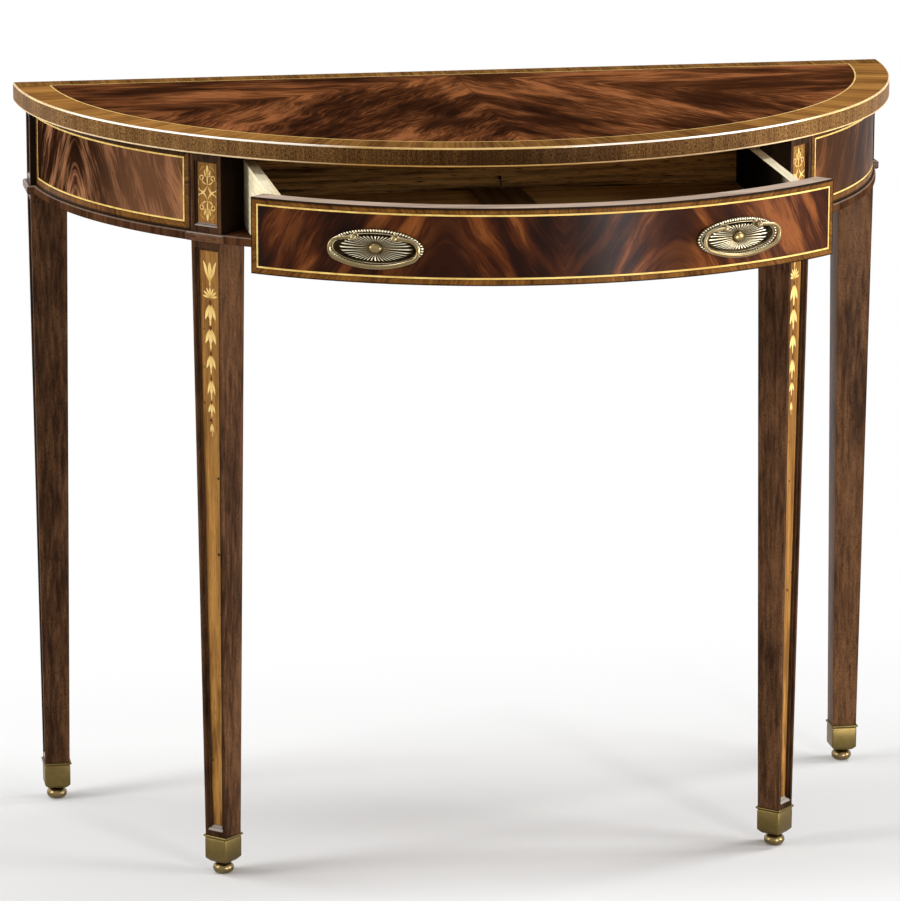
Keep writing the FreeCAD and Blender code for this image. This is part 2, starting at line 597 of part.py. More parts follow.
def handle_post(x):
    """Return one bail post, its shank's clearance hole and its nut, square to the front."""
    z = HANDLE_HEIGHT + POST_RISE
    nut_end = -(DRAWER_FRONT_THICKNESS + NUT_THICKNESS)
    shank = rod(POST_SHANK / 2, x, nut_end - POST_TAIL, BAIL_STAND_OFF, z)
    hole = rod(POST_SHANK / 2 + POST_CLEARANCE, x, nut_end - POST_TAIL, BAIL_STAND_OFF, z)
    nut = rod(NUT_DIAMETER / 2, x, nut_end, 0.0, z).cut(hole)
    nut = nut.common(Part.makeCylinder(DRAWER_INNER - GLUE_LINE, TABLE_HEIGHT))
    neck = rod(POST_COLLAR / 2, x, 0.0, BAIL_STAND_OFF, z).cut(handle_plate(GLUE_LINE))
    axis_y = -(FRIEZE_RADIUS + BAIL_STAND_OFF)
    eye_start = Vector(x - POST_EYE_LENGTH / 2, axis_y, z)
    eye = Part.makeCylinder(POST_EYE / 2, POST_EYE_LENGTH, eye_start, ACROSS)
    bore_start = Vector(x - POST_SPACING / 2, axis_y, z)
    bore = Part.makeCylinder(BAIL_PIN / 2 + BAIL_PIN_CLEARANCE, POST_SPACING, bore_start, ACROSS)
    return neck.fuse([eye, shank]).removeSplitter().cut(bore), hole, nut


def bail():
    """Return the oval bail: a round bar on arcs with two hinge pins."""
    depth = -(FRIEZE_RADIUS + BAIL_STAND_OFF)
    elbow_x = POST_SPACING / 2 + POST_EYE_LENGTH / 2 + BAIL_SIDE_GAP + BAIL_BAR / 2
    tip_x = BAIL_TIP_SPACING / 2
    tip = BAIL_TIP_RADIUS
    sweep = (tip_x ** 2 + BAIL_DROP ** 2 - tip ** 2) / (2 * (BAIL_DROP - tip))
    offset_x, offset_z = elbow_x - tip_x, POST_RISE
    distance = math.hypot(offset_x, offset_z)
    high = math.atan2(offset_z, offset_x) - math.acos(tip / distance)
    low = math.atan2(BAIL_DROP - sweep, tip_x)

    def at(x, z):
        return Vector(x, depth, HANDLE_HEIGHT + z)

    def on_tip(angle):
        return at(tip_x + tip * math.cos(angle), tip * math.sin(angle))

    start, upper, lower = at(elbow_x, POST_RISE), on_tip(high), on_tip(low)
    half = [Part.makeLine(start, upper), Part.Arc(upper, on_tip((high + low) / 2), lower).toShape()]
    bottom = at(0, -BAIL_DROP)
    opposite = Vector(-lower.x, lower.y, lower.z)
    edges = half + [Part.Arc(lower, bottom, opposite).toShape()]
    edges += [mirrored(edge) for edge in reversed(half)]
    path = Part.Wire(Part.__sortEdges__(edges))
    ring = Part.Wire([Part.makeCircle(BAIL_BAR / 2, start, upper - start)])
    bar = path.makePipeShell([ring], True, False)
    pin_start = POST_SPACING / 2 - POST_EYE_LENGTH / 2
    pin = Part.makeCylinder(BAIL_PIN / 2, elbow_x - pin_start, at(pin_start, POST_RISE), ACROSS)
    elbow = Part.makeSphere(BAIL_BAR / 2, start)
    return bar.fuse([pin, mirrored(pin), elbow, mirrored(elbow)]).removeSplitter()


def build_handles(drawer):
    """Return both handles, and bore the drawer front for their posts."""
    plate = handle_plate(0.0)
    fittings = [handle_post(x) for x in (-POST_SPACING / 2, POST_SPACING / 2)]
    for post, hole, nut in fittings:
        plate = plate.cut(hole)
    loop = bail()
    pieces = {}
    posts = []
    nuts = []
    for side, turn in (("left", -HANDLE_TURN), ("right", HANDLE_TURN)):
        for post, hole, nut in fittings:
            posts.append(stand(post, turn, 0, 0))
            nuts.append(stand(nut, turn, 0, 0))
            for name in ("drawer_front", "drawer_front_veneer"):
                drawer[name] = drawer[name].cut(stand(hole, turn, 0, 0))
        pieces[side + "_handle_plate"] = stand(plate, turn, 0, 0)
        pieces[side + "_bail"] = stand(loop, turn, 0, 0)
    pieces["handle_posts"] = Part.makeCompound(posts)
    pieces["handle_nuts"] = Part.makeCompound(nuts)
    return pieces


def export(pieces, shift):
    """Move every piece to its place and write it as one STEP file."""
    for name, shape in pieces.items():
        placed = shape.copy()
        placed.translate(shift)
        placed.exportStep("parts/" + name + ".step")
        print(name, len(placed.Solids), placed.isValid(), round(placed.Volume, 1))


def main():
    """Build the table and write one file for each node."""
    os.makedirs("parts", exist_ok=True)
    fixed = {}
    for group in (build_top(), build_legs(), build_frieze(), build_frame()):
        fixed.update(group)
    drawer = build_drawer_box()
    drawer.update(build_handles(drawer))
    export(fixed, CENTRING)
    export(drawer, CENTRING + PULL)


main()
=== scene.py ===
import logging
import math
from abc import ABC, abstractmethod
from dataclasses import dataclass, field
from enum import Enum
from functools import cache

import bmesh
import bpy
import numpy as np
from mathutils import Matrix, Vector
from numpy.typing import NDArray


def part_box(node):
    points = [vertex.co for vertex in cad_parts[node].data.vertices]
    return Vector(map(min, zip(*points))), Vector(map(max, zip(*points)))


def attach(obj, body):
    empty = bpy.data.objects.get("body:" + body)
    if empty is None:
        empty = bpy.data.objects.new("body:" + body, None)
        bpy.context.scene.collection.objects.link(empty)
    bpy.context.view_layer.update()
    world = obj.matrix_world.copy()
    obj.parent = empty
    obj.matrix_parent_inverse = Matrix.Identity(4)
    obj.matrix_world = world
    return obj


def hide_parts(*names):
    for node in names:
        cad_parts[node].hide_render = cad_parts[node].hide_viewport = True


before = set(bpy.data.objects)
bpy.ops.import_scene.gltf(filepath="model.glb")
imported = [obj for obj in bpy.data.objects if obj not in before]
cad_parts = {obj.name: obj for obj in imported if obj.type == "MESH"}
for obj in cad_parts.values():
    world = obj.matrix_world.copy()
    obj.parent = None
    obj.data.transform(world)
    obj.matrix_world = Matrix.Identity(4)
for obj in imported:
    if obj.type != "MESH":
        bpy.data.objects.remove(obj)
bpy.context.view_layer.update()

LOG = logging.getLogger("demilune_table")
Points = NDArray[np.float64]
Colour = tuple[float, float, float]
MM = 0.001
WELD = 2e-6
FULL_TURN = 2.0 * math.pi
LEG_TURN = math.pi / 4
FLOAT = "NodeSocketFloat"


def display(red: float, green: float, blue: float) -> tuple[float, float, float, float]:
    """Turns a display colour into the linear colour that a shader takes.

    Args:
        red: Red from 0 to 255.
        green: Green from 0 to 255.
        blue: Blue from 0 to 255.

    Returns:
        Linear red, green, blue and a full alpha.
    """
    shown = np.array([red, green, blue]) / 255.0
    linear = np.where(shown <= 0.04045, shown / 12.92, ((shown + 0.055) / 1.055) ** 2.4)
    return (*linear.tolist(), 1.0)


# Geometry helpers

@dataclass
class Shell:
    """A mesh gathered from grids of points, whose touching rims are welded.

    Attributes:
        points: Vertices of each grid.
        quads: Faces of each grid, as vertex numbers.
        caps: Many-sided end faces, as vertex numbers.
        charts: Flat coordinates of the vertices, in metres.
        shades: One tint value for each vertex.
        count: How many vertices there are so far.
    """

    points: list[Points] = field(default_factory=list)
    quads: list[Points] = field(default_factory=list)
    caps: list[list[int]] = field(default_factory=list)
    charts: list[Points] = field(default_factory=list)
    shades: list[Points] = field(default_factory=list)
    count: int = 0

    def grid(self, points: Points, chart: Points | None = None, shade: Points | float = 0.0) -> None:
        """Adds one surface.

        Args:
            points: Rows by columns by 3, in metres.
            chart: Rows by columns by 2, or None for the row and column places.
            shade: One value, or rows by columns of them.
        """
        rows, columns = points.shape[:2]
        index = np.arange(rows * columns).reshape(rows, columns) + self.count
        corners = (index[:-1, :-1], index[:-1, 1:], index[1:, 1:], index[1:, :-1])
        if chart is None:
            chart = points[..., [0, 2]]
        self.quads.append(np.stack(corners, -1).reshape(-1, 4))
        self.points.append(points.reshape(-1, 3))
        self.charts.append(np.broadcast_to(chart, (rows, columns, 2)).reshape(-1, 2))
        self.shades.append(np.broadcast_to(shade, (rows, columns)).ravel())
        self.count += rows * columns

    def cap(self, first: int, number: int) -> None:
        """Closes a row of the last grid, from its first vertex on, with one face."""
        self.caps.append(list(range(first, first + number)))

    def build(self, name: str, crease: float = 32.0) -> bpy.types.Object:
        """Welds the grids into one object at the origin.

        Args:
            name: The object's name.
            crease: Angle in degrees from which an edge stays sharp.

        Returns:
            The new object.
        """
        mesh = bpy.data.meshes.new(name)
        faces = np.concatenate(self.quads).tolist() + self.caps
        mesh.from_pydata(np.concatenate(self.points).tolist(), [], faces)
        corner = np.empty(len(mesh.loops), np.int32)
        mesh.loops.foreach_get("vertex_index", corner)
        chart = np.concatenate(self.charts)[corner].astype(np.float32)
        mesh.uv_layers.new(name="chart").data.foreach_set("uv", chart.ravel())
        shade = mesh.attributes.new("shade", "FLOAT", "POINT")
        shade.data.foreach_set("value", np.concatenate(self.shades).astype(np.float32))
        work = bmesh.new()
        work.from_mesh(mesh)
        bmesh.ops.remove_doubles(work, verts=work.verts, dist=WELD)
        bmesh.ops.dissolve_degenerate(work, dist=WELD, edges=work.edges)
        bmesh.ops.recalc_face_normals(work, faces=work.faces)
        work.to_mesh(mesh)
        work.free()
        mesh.polygons.foreach_set("use_smooth", np.ones(len(mesh.polygons), bool))
        mesh.set_sharp_from_angle(angle=math.radians(crease))
        thing = bpy.data.objects.new(name, mesh)
        bpy.context.scene.collection.objects.link(thing)
        return thing


def girth(outline: Points) -> Points:
    """Distance along an outline up to each of its points: the sum of its chords."""
    return np.concatenate([[0.0], np.cumsum(np.linalg.norm(np.diff(outline, axis=0), axis=1))])


@dataclass(frozen=True)
class RimTint:
    """How a strip of veneer is tinted, from its outer edge to its inner one.

    Attributes:
        kept: Share of the rim over which the tint hardly fades.
        fading: Tint where that share ends.
        wide: Rim above which the middle of the strip gets painted shadow too.
        dull: Strength of that painted shadow, the shade under the top's overhang.
        inner: Share of the width at which the inner edge's tint starts.
        edge: Tint of the inner edge.
        top: How many times wider the top strip's rim is; on a frieze it is painted shadow under the overhang.
    """

    kept: float = 0.6
    fading: float = 0.85
    wide: float = 0.5
    dull: float = 0.75
    inner: float = 0.82
    edge: float = 0.8
    top: float = 1.95


RIM = RimTint()


@dataclass(frozen=True)
class RoundWall:
    """An upright round wall about a vertical line on the table's middle plane.

    Attributes:
        centre_y: Where the line stands.
        radius: Radius of the wall's face.
    """

    centre_y: float
    radius: float

    def at(self, along: Points, height: Points, depth: Points | float) -> Points:
        """Bends flat coordinates round the wall: the turn is the arc length over the radius.

        Args:
            along: Arc length to the right of the middle.
            height: Height above the floor.
            depth: How far outside the face.

        Returns:
            Points in the table's frame.
        """
        turn = along / self.radius
        reach = self.radius + depth
        parts = np.broadcast_arrays(reach * np.sin(turn), self.centre_y - reach * np.cos(turn), height)
        return np.stack(parts, -1)

    def slab(self, shell: Shell, corners: Points, thickness: float, steps: int = 96,
             rim: float = 0.0) -> None:
        """Adds a closed four-cornered sheet of veneer: corners are blended evenly and bent round the wall.

        Args:
            shell: The mesh to add to.
            corners: Outer start, inner start, outer end and inner end, as arc length and height.
            thickness: How deep the sheet goes behind the face.
            steps: Spans along the sheet.
            rim: Share of the width that is tinted along the outer edge; above 0 the chart follows the strip.
        """
        outer_start, inner_start, outer_end, inner_end = np.asarray(corners)
        run = np.linspace(0.0, 1.0, steps + 1)[:, None, None]
        marks = [0.0, RIM.kept * rim, rim, RIM.inner, 1.0] if rim else [0.0, 0.5, 1.0]
        rise = np.array(marks)[None, :, None]
        flat = (1 - run) * ((1 - rise) * outer_start + rise * inner_start)
        flat = flat + run * ((1 - rise) * outer_end + rise * inner_end)
        front = self.at(flat[..., 0], flat[..., 1], 0.0)
        back = self.at(flat[..., 0], flat[..., 1], -thickness)
        chart, shade = flat, np.zeros(flat.shape[:2])
        if rim:
            length = np.linalg.norm(outer_end - outer_start)
            width = np.linalg.norm(inner_start - outer_start)
            chart = np.concatenate(np.broadcast_arrays(run * length + outer_start.sum(), rise * width), -1)
            # Painted shadow: a rim wider than half the strip darkens its middle too.
            dull = RIM.dull if rim > RIM.wide else 0.0
            shade = np.broadcast_to([1.0, RIM.fading, dull, dull, RIM.edge], flat.shape[:2])
        shell.grid(front, chart, shade)
        shell.grid(back, chart, shade)
        for row in (0, -1):
            for edge in (np.s_[row], np.s_[:, row]):
                sheet = np.stack([front[edge], back[edge]])
                shell.grid(sheet, np.stack([chart[edge], chart[edge]]), np.stack([shade[edge], shade[edge]]))

    def frame_of(self, shell: Shell, low: Points, high: Points, width: float, thickness: float,
                 rim: float = 0.0) -> None:
        """Adds four mitred strips round a panel: at its foot, on its right, along its top and on its left.

        Args:
            shell: The mesh to add to.
            low: Lowest arc length and height of the panel.
            high: Highest arc length and height of the panel.
            width: Width of the strips.
            thickness: How deep the strips go behind the face.
            rim: Share of the width that is tinted along the outer edge, wider along the top, where on a
                frieze it is painted shadow.
        """
        outer = np.array([low, (high[0], low[1]), high, (low[0], high[1])])
        inset = np.array([(1, 1), (-1, 1), (-1, -1), (1, -1)]) * width
        # On the friezes the top strip's wider rim is painted shadow under the top's overhang.
        for number, wider in enumerate((1.0, 1.0, RIM.top, 1.0)):
            pair = [number, (number + 1) % 4]
            first, last = ((outer[spot], outer[spot] + inset[spot]) for spot in pair)
            self.slab(shell, np.array([*first, *last]), thickness, rim=rim * wider)

    def sweep(self, shell: Shell, profile: Points, start: float, end: float, steps: int = 200,
              tint: Points | None = None) -> None:
        """Adds a moulding: a closed outline of reach and height carried round the wall's line.

        Args:
            shell: The mesh to add to.
            profile: Outline points as reach from the wall's line and height.
            start: First turn from the middle, in radians.
            end: Last turn.
            steps: Spans along the turn.
            tint: Tint of each turn, or None for none.
        """
        outline = np.concatenate([profile, profile[:1]])
        turn = np.linspace(start, end, steps + 1)[:, None]
        reach, height = outline[None, :, 0], outline[None, :, 1]
        points = np.stack(np.broadcast_arrays(
            reach * np.sin(turn), self.centre_y - reach * np.cos(turn), height), -1)
        chart = np.stack(np.broadcast_arrays(turn * self.radius, girth(outline)[None, :]), -1)
        first = shell.count
        shell.grid(points, chart, 0.0 if tint is None else tint[:, None])
        shell.cap(first, len(profile))
        shell.cap(first + steps * len(outline), len(profile))


@dataclass(frozen=True)
class Stand:
    """A local frame: across to the right, out towards the viewer and up.

    Attributes:
        centre: The frame's origin.
        turn: Turn of the outward direction from straight ahead, in radians.
    """

    centre: tuple[float, float, float]
    turn: float

    def at(self, across: Points, out: Points | float, up: Points | float) -> Points:
        """Places local points.

        Args:
            across: Distance along the face.
            out: Distance in front of the origin.
            up: Height above the origin.

        Returns:
            Points in the table's frame.
        """
        sine, cosine = math.sin(self.turn), math.cos(self.turn)
        x, y, z = self.centre
        parts = (x + across * cosine + out * sine, y + across * sine - out * cosine, z + up)
        return np.stack(np.broadcast_arrays(*parts), -1)


def arc(centre: tuple[float, float], radius: float, start: float, end: float, steps: int) -> Points:
    """Points of a round corner: the centre plus the radius times cosine and sine of the angle in degrees."""
    angle = np.radians(np.linspace(start, end, steps + 1))
    return np.stack([centre[0] + radius * np.cos(angle), centre[1] + radius * np.sin(angle)], -1)


def bent(start: tuple | Points, pull: tuple | Points, end: tuple | Points, steps: int) -> Points:
    """Points of a bent line: a quadratic curve between two ends, pulled by a third point.

    Args:
        start: First end.
        pull: Point that pulls the line.
        end: Last end.
        steps: Spans along it.

    Returns:
        Steps plus one points.
    """
    run = np.linspace(0.0, 1.0, steps + 1)[:, None]
    pulled = 2 * run * (1 - run) * np.array(pull)
    return (1 - run) ** 2 * np.array(start) + pulled + run ** 2 * np.array(end)


def left_of(path: Points) -> Points:
    """Finds the direction to the left of a flat path, a quarter turn from its own.

    Args:
        path: Points of the path.

    Returns:
        A unit vector for each point.
    """
    run = np.gradient(path, axis=0)
    run /= np.maximum(np.linalg.norm(run, axis=1, keepdims=True), 1e-9)
    return np.stack([-run[:, 1], run[:, 0]], -1)


def round_square(half: Points, corner: Points | float, steps: int) -> tuple[Points, Points]:
    """Outlines squares with round corners, from the front right corner round to the front left one.

    Args:
        half: Half-width of each square, one row each.
        corner: Radius of the corners.
        steps: Spans of each corner.

    Returns:
        Across and out, one row for each square.
    """
    xs, outs = [], []
    for start, side, front in ((90, 1, 1), (0, 1, -1), (-90, -1, -1), (180, -1, 1)):
        angle = np.radians(np.linspace(start, start - 90, steps + 1))[None, :]
        xs.append(side * (half - corner) + corner * np.cos(angle))
        outs.append(front * (half - corner) + corner * np.sin(angle))
    return np.hstack(xs), np.hstack(outs)


def closed(rows: Points) -> Points:
    """Repeats the first value of each row at its end."""
    return np.hstack([rows, rows[:, :1]])


def lathe(shell: Shell, profile: Points, stand: Stand, upright: bool, shade: float,
          sides: int = 48) -> None:
    """Adds a turned piece: each profile point goes round the axis at its own radius.

    Args:
        shell: The mesh to add to.
        profile: Radius and place along the axis; it starts and ends at radius 0.
        stand: Local frame of the axis.
        upright: True if the axis is upright, False if it points outwards.
        shade: Tint of the piece.
        sides: Spans round the axis.
    """
    angle = np.linspace(0.0, FULL_TURN, sides + 1)[None, :]
    radius, place = profile[:, :1], profile[:, 1:]
    first, second = radius * np.cos(angle), radius * np.sin(angle)
    along = np.broadcast_to(place, first.shape)
    points = stand.at(first, second, along) if upright else stand.at(first, along, second)
    shell.grid(points, np.stack([first, along], -1), shade)


# Shader helpers

class Paint:
    """Adds and wires nodes in one tree.

    Attributes:
        tree: The node tree.
    """

    def __init__(self, tree: bpy.types.NodeTree) -> None:
        """Keeps the tree to add to."""
        self.tree = tree

    def node(self, kind: str, *values: object, **settings: object) -> bpy.types.Node:
        """Adds a node.

        Args:
            kind: The node's type.
            *values: Outputs or constants for its first inputs.
            **settings: Properties to set on it.

        Returns:
            The node.
        """
        made = self.tree.nodes.new(kind)
        for name, value in settings.items():
            setattr(made, name, value)
        for socket, value in zip(made.inputs, values):
            self.feed(socket, value)
        return made

    def feed(self, socket: bpy.types.NodeSocket, value: object) -> None:
        """Wires an output into a socket, or writes a constant on it.

        Args:
            socket: The input.
            value: An output socket or a constant.
        """
        if isinstance(value, bpy.types.NodeSocket):
            self.tree.links.new(value, socket)
        else:
            socket.default_value = value

    def math(self, operation: str, *values: object, clamp: bool = False) -> bpy.types.NodeSocket:
        """Works out one, two or three values, and keeps the result from 0 to 1 if it is clamped."""
        return self.node("ShaderNodeMath", *values, operation=operation, use_clamp=clamp).outputs[0]

    def blend(self, factor: object, first: object, second: object) -> bpy.types.NodeSocket:
        """Mixes two colours.

        Args:
            factor: How much of the second.
            first: First colour.
            second: Second colour.

        Returns:
            The colour.
        """
        made = self.node("ShaderNodeMix", data_type="RGBA")
        for number, value in ((0, factor), (6, first), (7, second)):
            self.feed(made.inputs[number], value)
        return made.outputs[2]

    def veil(self, factor: object, strength: float, tone: object, colour: Colour) -> bpy.types.NodeSocket:
        """Lays a display colour over a tone, where and as far as the factor says."""
        return self.blend(self.math("MULTIPLY", factor, strength), tone, display(*colour))

    def ramp(self, factor: object, *stops: tuple[float, tuple]) -> bpy.types.NodeSocket:
        """Turns a value into a colour.

        Args:
            factor: The value.
            *stops: Place and colour of each stop.

        Returns:
            The colour.
        """
        made = self.node("ShaderNodeValToRGB", factor)
        marks = made.color_ramp.elements
        while len(marks) < len(stops):
            marks.new(0.5)
        for mark, (place, colour) in zip(marks, stops):
            mark.position, mark.color = place, colour
        return made.outputs[0]

    def span(self, value: object, low: float, high: float) -> bpy.types.NodeSocket:
        """Maps a value smoothly to 0 below low and 1 above high."""
        return self.node("ShaderNodeMapRange", value, low, high, interpolation_type="SMOOTHSTEP").outputs[0]

    def merge(self, x: object, y: object, z: object) -> bpy.types.NodeSocket:
        """Makes a vector of three values."""
        return self.node("ShaderNodeCombineXYZ", x, y, z).outputs[0]

    def split(self, vector: object) -> tuple:
        """Takes a vector apart into its three values."""
        return tuple(self.node("ShaderNodeSeparateXYZ", vector).outputs)

    def noise(self, vector: object, detail: float, roughness: float) -> bpy.types.NodeSocket:
        """Adds soft noise about one unit across.

        Args:
            vector: Where it is read.
            detail: Octaves.
            roughness: Strength of the finer octaves.

        Returns:
            A value about 0.5.
        """
        made = self.node("ShaderNodeTexNoise")
        for name, value in (("Vector", vector), ("Scale", 1.0), ("Detail", detail), ("Roughness", roughness)):
            self.feed(made.inputs[name], value)
        return made.outputs[0]

    def stretched(self, place: tuple, rates: Colour, seed: float, detail: float) -> bpy.types.NodeSocket:
        """Adds noise about 0.5 with so many features in a metre along each axis."""
        parts = [self.math("MULTIPLY_ADD", value, rate, seed) for value, rate in zip(place, rates)]
        return self.noise(self.merge(*parts), detail, 0.6)

    def call(self, group: bpy.types.NodeTree, **inputs: object) -> bpy.types.Node:
        """Adds a node group.

        Args:
            group: The group.
            **inputs: Values of its inputs.

        Returns:
            The group's node.
        """
        made = self.node("ShaderNodeGroup")
        made.node_tree = group
        for name, value in inputs.items():
            self.feed(made.inputs[name], value)
        return made


def start_group(name: str, inputs: dict[str, str], outputs: dict[str, str]) -> tuple[Paint, dict, dict]:
    """Starts a shared node group.

    Args:
        name: The group's name.
        inputs: Socket type of each input.
        outputs: Socket type of each output.

    Returns:
        The group's paint helper, its inputs and its outputs.
    """
    tree = bpy.data.node_groups.new(name, "ShaderNodeTree")
    for title, kind in inputs.items():
        tree.interface.new_socket(title, in_out="INPUT", socket_type=kind)
    for title, kind in outputs.items():
        tree.interface.new_socket(title, in_out="OUTPUT", socket_type=kind)
    paint = Paint(tree)
    source, sink = paint.node("NodeGroupInput"), paint.node("NodeGroupOutput")
    given = {title: source.outputs[title] for title in inputs}
    taken = {title: sink.inputs[title] for title in outputs}
    return paint, given, taken


@cache
def flame_group() -> bpy.types.NodeTree:
    """Makes the crotch figure: noise of three sizes drawn out along the run, on a level that wanders.

    Returns:
        The group.
    """
    inputs = dict.fromkeys(("Level", "Run", "Drift", "Fine"), FLOAT)
    outputs = dict.fromkeys(("Figure", "Streak", "Patch"), FLOAT)
    paint, given, taken = start_group("flame_figure", inputs, outputs)
    run, drift = given["Run"], given["Drift"]

    def layer(level: object, rate: float, cross: float, shift: float, detail: float) -> bpy.types.NodeSocket:
        """Adds one size of noise.

        Args:
            level: Place across the streaks.
            rate: Features a metre holds across the streaks.
            cross: Features a metre holds along them.
            shift: Picks the pattern.
            detail: Octaves.

        Returns:
            A value about 0.5.
        """
        across = paint.math("MULTIPLY", level, rate)
        along = paint.math("MULTIPLY_ADD", run, cross, shift)
        return paint.noise(paint.merge(across, along, drift), detail, 0.55)

    slow = layer(given["Level"], rate=13.0, cross=10.0, shift=40.0, detail=2.0)
    level = paint.math("ADD", given["Level"], paint.math("MULTIPLY_ADD", slow, 0.03, -0.015))
    broad = paint.math("MULTIPLY", layer(level, rate=32.0, cross=8.0, shift=0.0, detail=1.5), 0.6)
    bands = layer(level, rate=95.0, cross=15.0, shift=4.0, detail=2.0)
    middle = paint.math("MULTIPLY_ADD", bands, 0.27, broad)
    ripple = paint.math("SUBTRACT", layer(level, rate=500.0, cross=42.0, shift=9.0, detail=3.0), 0.5)
    fine = paint.math("MULTIPLY", ripple, given["Fine"])
    mixed = paint.math("ADD", paint.math("ADD", fine, 0.065), middle)
    paint.feed(taken["Figure"], paint.span(mixed, 0.34, 0.68))
    streak = layer(level, rate=850.0, cross=70.0, shift=17.0, detail=1.0)
    paint.feed(taken["Streak"], paint.span(streak, 0.57, 0.7))
    patch = layer(given["Level"], rate=15.0, cross=7.0, shift=31.0, detail=3.0)
    paint.feed(taken["Patch"], paint.span(patch, 0.46, 0.68))
    return paint.tree


@cache
def grain_group() -> bpy.types.NodeTree:
    """Makes straight grain and open pores along the vector's Z.

    Returns:
        The group.
    """
    paint, given, taken = start_group("wood_grain", {"Vector": "NodeSocketVector", "Seed": FLOAT},
                                      {"Tone": FLOAT, "Pores": FLOAT})
    x, y, z = paint.split(given["Vector"])
    layers = []
    for rate, run, detail in ((32.0, 1.8, 3.0), (240.0, 9.0, 3.0), (1500.0, 60.0, 1.0)):
        place = paint.merge(paint.math("MULTIPLY_ADD", x, rate, given["Seed"]),
                            paint.math("MULTIPLY", y, rate), paint.math("MULTIPLY", z, run))
        layers.append(paint.noise(place, detail, 0.6))
    tone = paint.math("ADD", paint.math("MULTIPLY", layers[0], 0.5), paint.math("MULTIPLY", layers[1], 0.5))
    paint.feed(taken["Tone"], paint.span(tone, 0.34, 0.66))
    paint.feed(taken["Pores"], paint.span(layers[2], 0.58, 0.7))
    return paint.tree


@cache
def fleck_group() -> bpy.types.NodeTree:
    """Makes scattered round flecks: near the middle of some random cells.

    Returns:
        The group.
    """
    paint, given, taken = start_group(
        "distress_flecks", {"Vector": "NodeSocketVector", "Scale": FLOAT, "Share": FLOAT}, {"Mask": FLOAT})
    ragged = paint.node("ShaderNodeTexNoise")
    paint.feed(ragged.inputs["Vector"], given["Vector"])
    paint.feed(ragged.inputs["Scale"], 1600.0)
    moved = paint.node("ShaderNodeVectorMath", ragged.outputs["Color"], (0.002, 0.002, 0.002),
                       given["Vector"], operation="MULTIPLY_ADD")
    cells = paint.node("ShaderNodeTexVoronoi")
    paint.feed(cells.inputs["Vector"], moved.outputs[0])
    paint.feed(cells.inputs["Scale"], given["Scale"])
    pick, size, _ = paint.split(cells.outputs["Color"])
    chosen = paint.math("LESS_THAN", pick, given["Share"])
    reach = paint.math("MULTIPLY_ADD", size, 0.28, 0.12)
    inside = paint.math("SUBTRACT", 1.0, paint.math("DIVIDE", cells.outputs["Distance"], reach), clamp=True)
    paint.feed(taken["Mask"], paint.math("MULTIPLY", chosen, paint.span(inside, 0.0, 0.5)))
    return paint.tree


@cache
def rub_group() -> bpy.types.NodeTree:
    """Makes a mask of rubbed edges: where the rounded normal leaves the true one.

    Returns:
        The group.
    """
    paint, given, taken = start_group("rubbed_edges", {"Radius": FLOAT}, {"Mask": FLOAT})
    rounded = paint.node("ShaderNodeBevel", given["Radius"], samples=4)
    normal = paint.node("ShaderNodeNewGeometry").outputs["Normal"]
    agree = paint.node("ShaderNodeVectorMath", rounded.outputs[0], normal, operation="DOT_PRODUCT")
    paint.feed(taken["Mask"], paint.span(paint.math("SUBTRACT", 1.0, agree.outputs["Value"]), 0.03, 0.22))
    return paint.tree


# Finishes

class Layout(Enum):
    """How a flame figure lies on its panel."""

    DRAWER = "drawer"
    FRIEZE = "frieze"
    FAN = "fan"


class Grain(Enum):
    """Which way the grain runs: an axis, the strip's own chart or out from the half-circle's centre."""

    UP = "up"
    ACROSS = "across"
    BACK = "back"
    CHART = "chart"
    RADIAL = "radial"


@dataclass(frozen=True)
class Finish(ABC):
    """A finish of one wood or metal.

    Attributes:
        name: Name of the material.
        slot: Material slot of the record; not used.
        roughness: How dull it is.
        gloss: Specular level.
    """

    name: str
    slot: str
    roughness: float = 0.42
    gloss: float = 0.25

    def material(self) -> bpy.types.Material:
        """Builds the material once.

        Returns:
            The material.
        """
        if self.name in bpy.data.materials:
            return bpy.data.materials[self.name]
        made = bpy.data.materials.new(self.name)
        made.use_nodes = True
        paint = Paint(made.node_tree)
        shader = made.node_tree.nodes["Principled BSDF"]
        shader.inputs["Roughness"].default_value = self.roughness
        shader.inputs["Specular IOR Level"].default_value = self.gloss
        self.colour(paint, shader)
        return made

    @abstractmethod
    def colour(self, paint: Paint, shader: bpy.types.Node) -> None:
        """Paints the shader's colour and relief."""

    def relief(self, paint: Paint, shader: bpy.types.Node, height: object, strength: float,
               depth: float) -> None:
        """Adds fine relief.

        Args:
            paint: Helper of the material's tree.
            shader: The Principled node.
            height: Height of the relief.
            strength: How strong it is.
            depth: How deep it is, in metres.
        """
        bump = paint.node("ShaderNodeBump")
        for name, value in (("Height", height), ("Strength", strength), ("Distance", depth)):
            paint.feed(bump.inputs[name], value)
        paint.feed(shader.inputs["Normal"], bump.outputs[0])

    def dress(self, *nodes: str) -> None:
        """Gives the finish to CAD nodes.

        Args:
            *nodes: Their names.
        """
        for name in nodes:
            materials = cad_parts[name].data.materials
            for number in range(len(materials)):
                materials[number] = self.material()
            if not materials:
                materials.append(self.material())
            LOG.info("%s: %s", name, self.name)

    def cover(self, piece: bpy.types.Object, body: str, *nodes: str) -> bpy.types.Object:
        """Gives the finish to a new piece and ties it to its body.

        Args:
            piece: The piece.
            body: The CAD body it rides on.
            *nodes: CAD nodes it stands for.

        Returns:
            The piece.
        """
        piece.data.materials.append(self.material())
        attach(piece, body)
        if nodes:
            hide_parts(*nodes)
        LOG.info("%s: %s on %s", piece.name, self.name, body)
        return piece


def object_place(paint: Paint) -> tuple:
    """Reads the object coordinates, in metres."""
    return paint.split(paint.node("ShaderNodeTexCoord").outputs["Object"])


def chart_place(paint: Paint) -> tuple:
    """Reads the chart of a new piece: distance along and across, in metres, and zero."""
    return paint.split(paint.node("ShaderNodeUVMap", uv_map="chart").outputs[0])


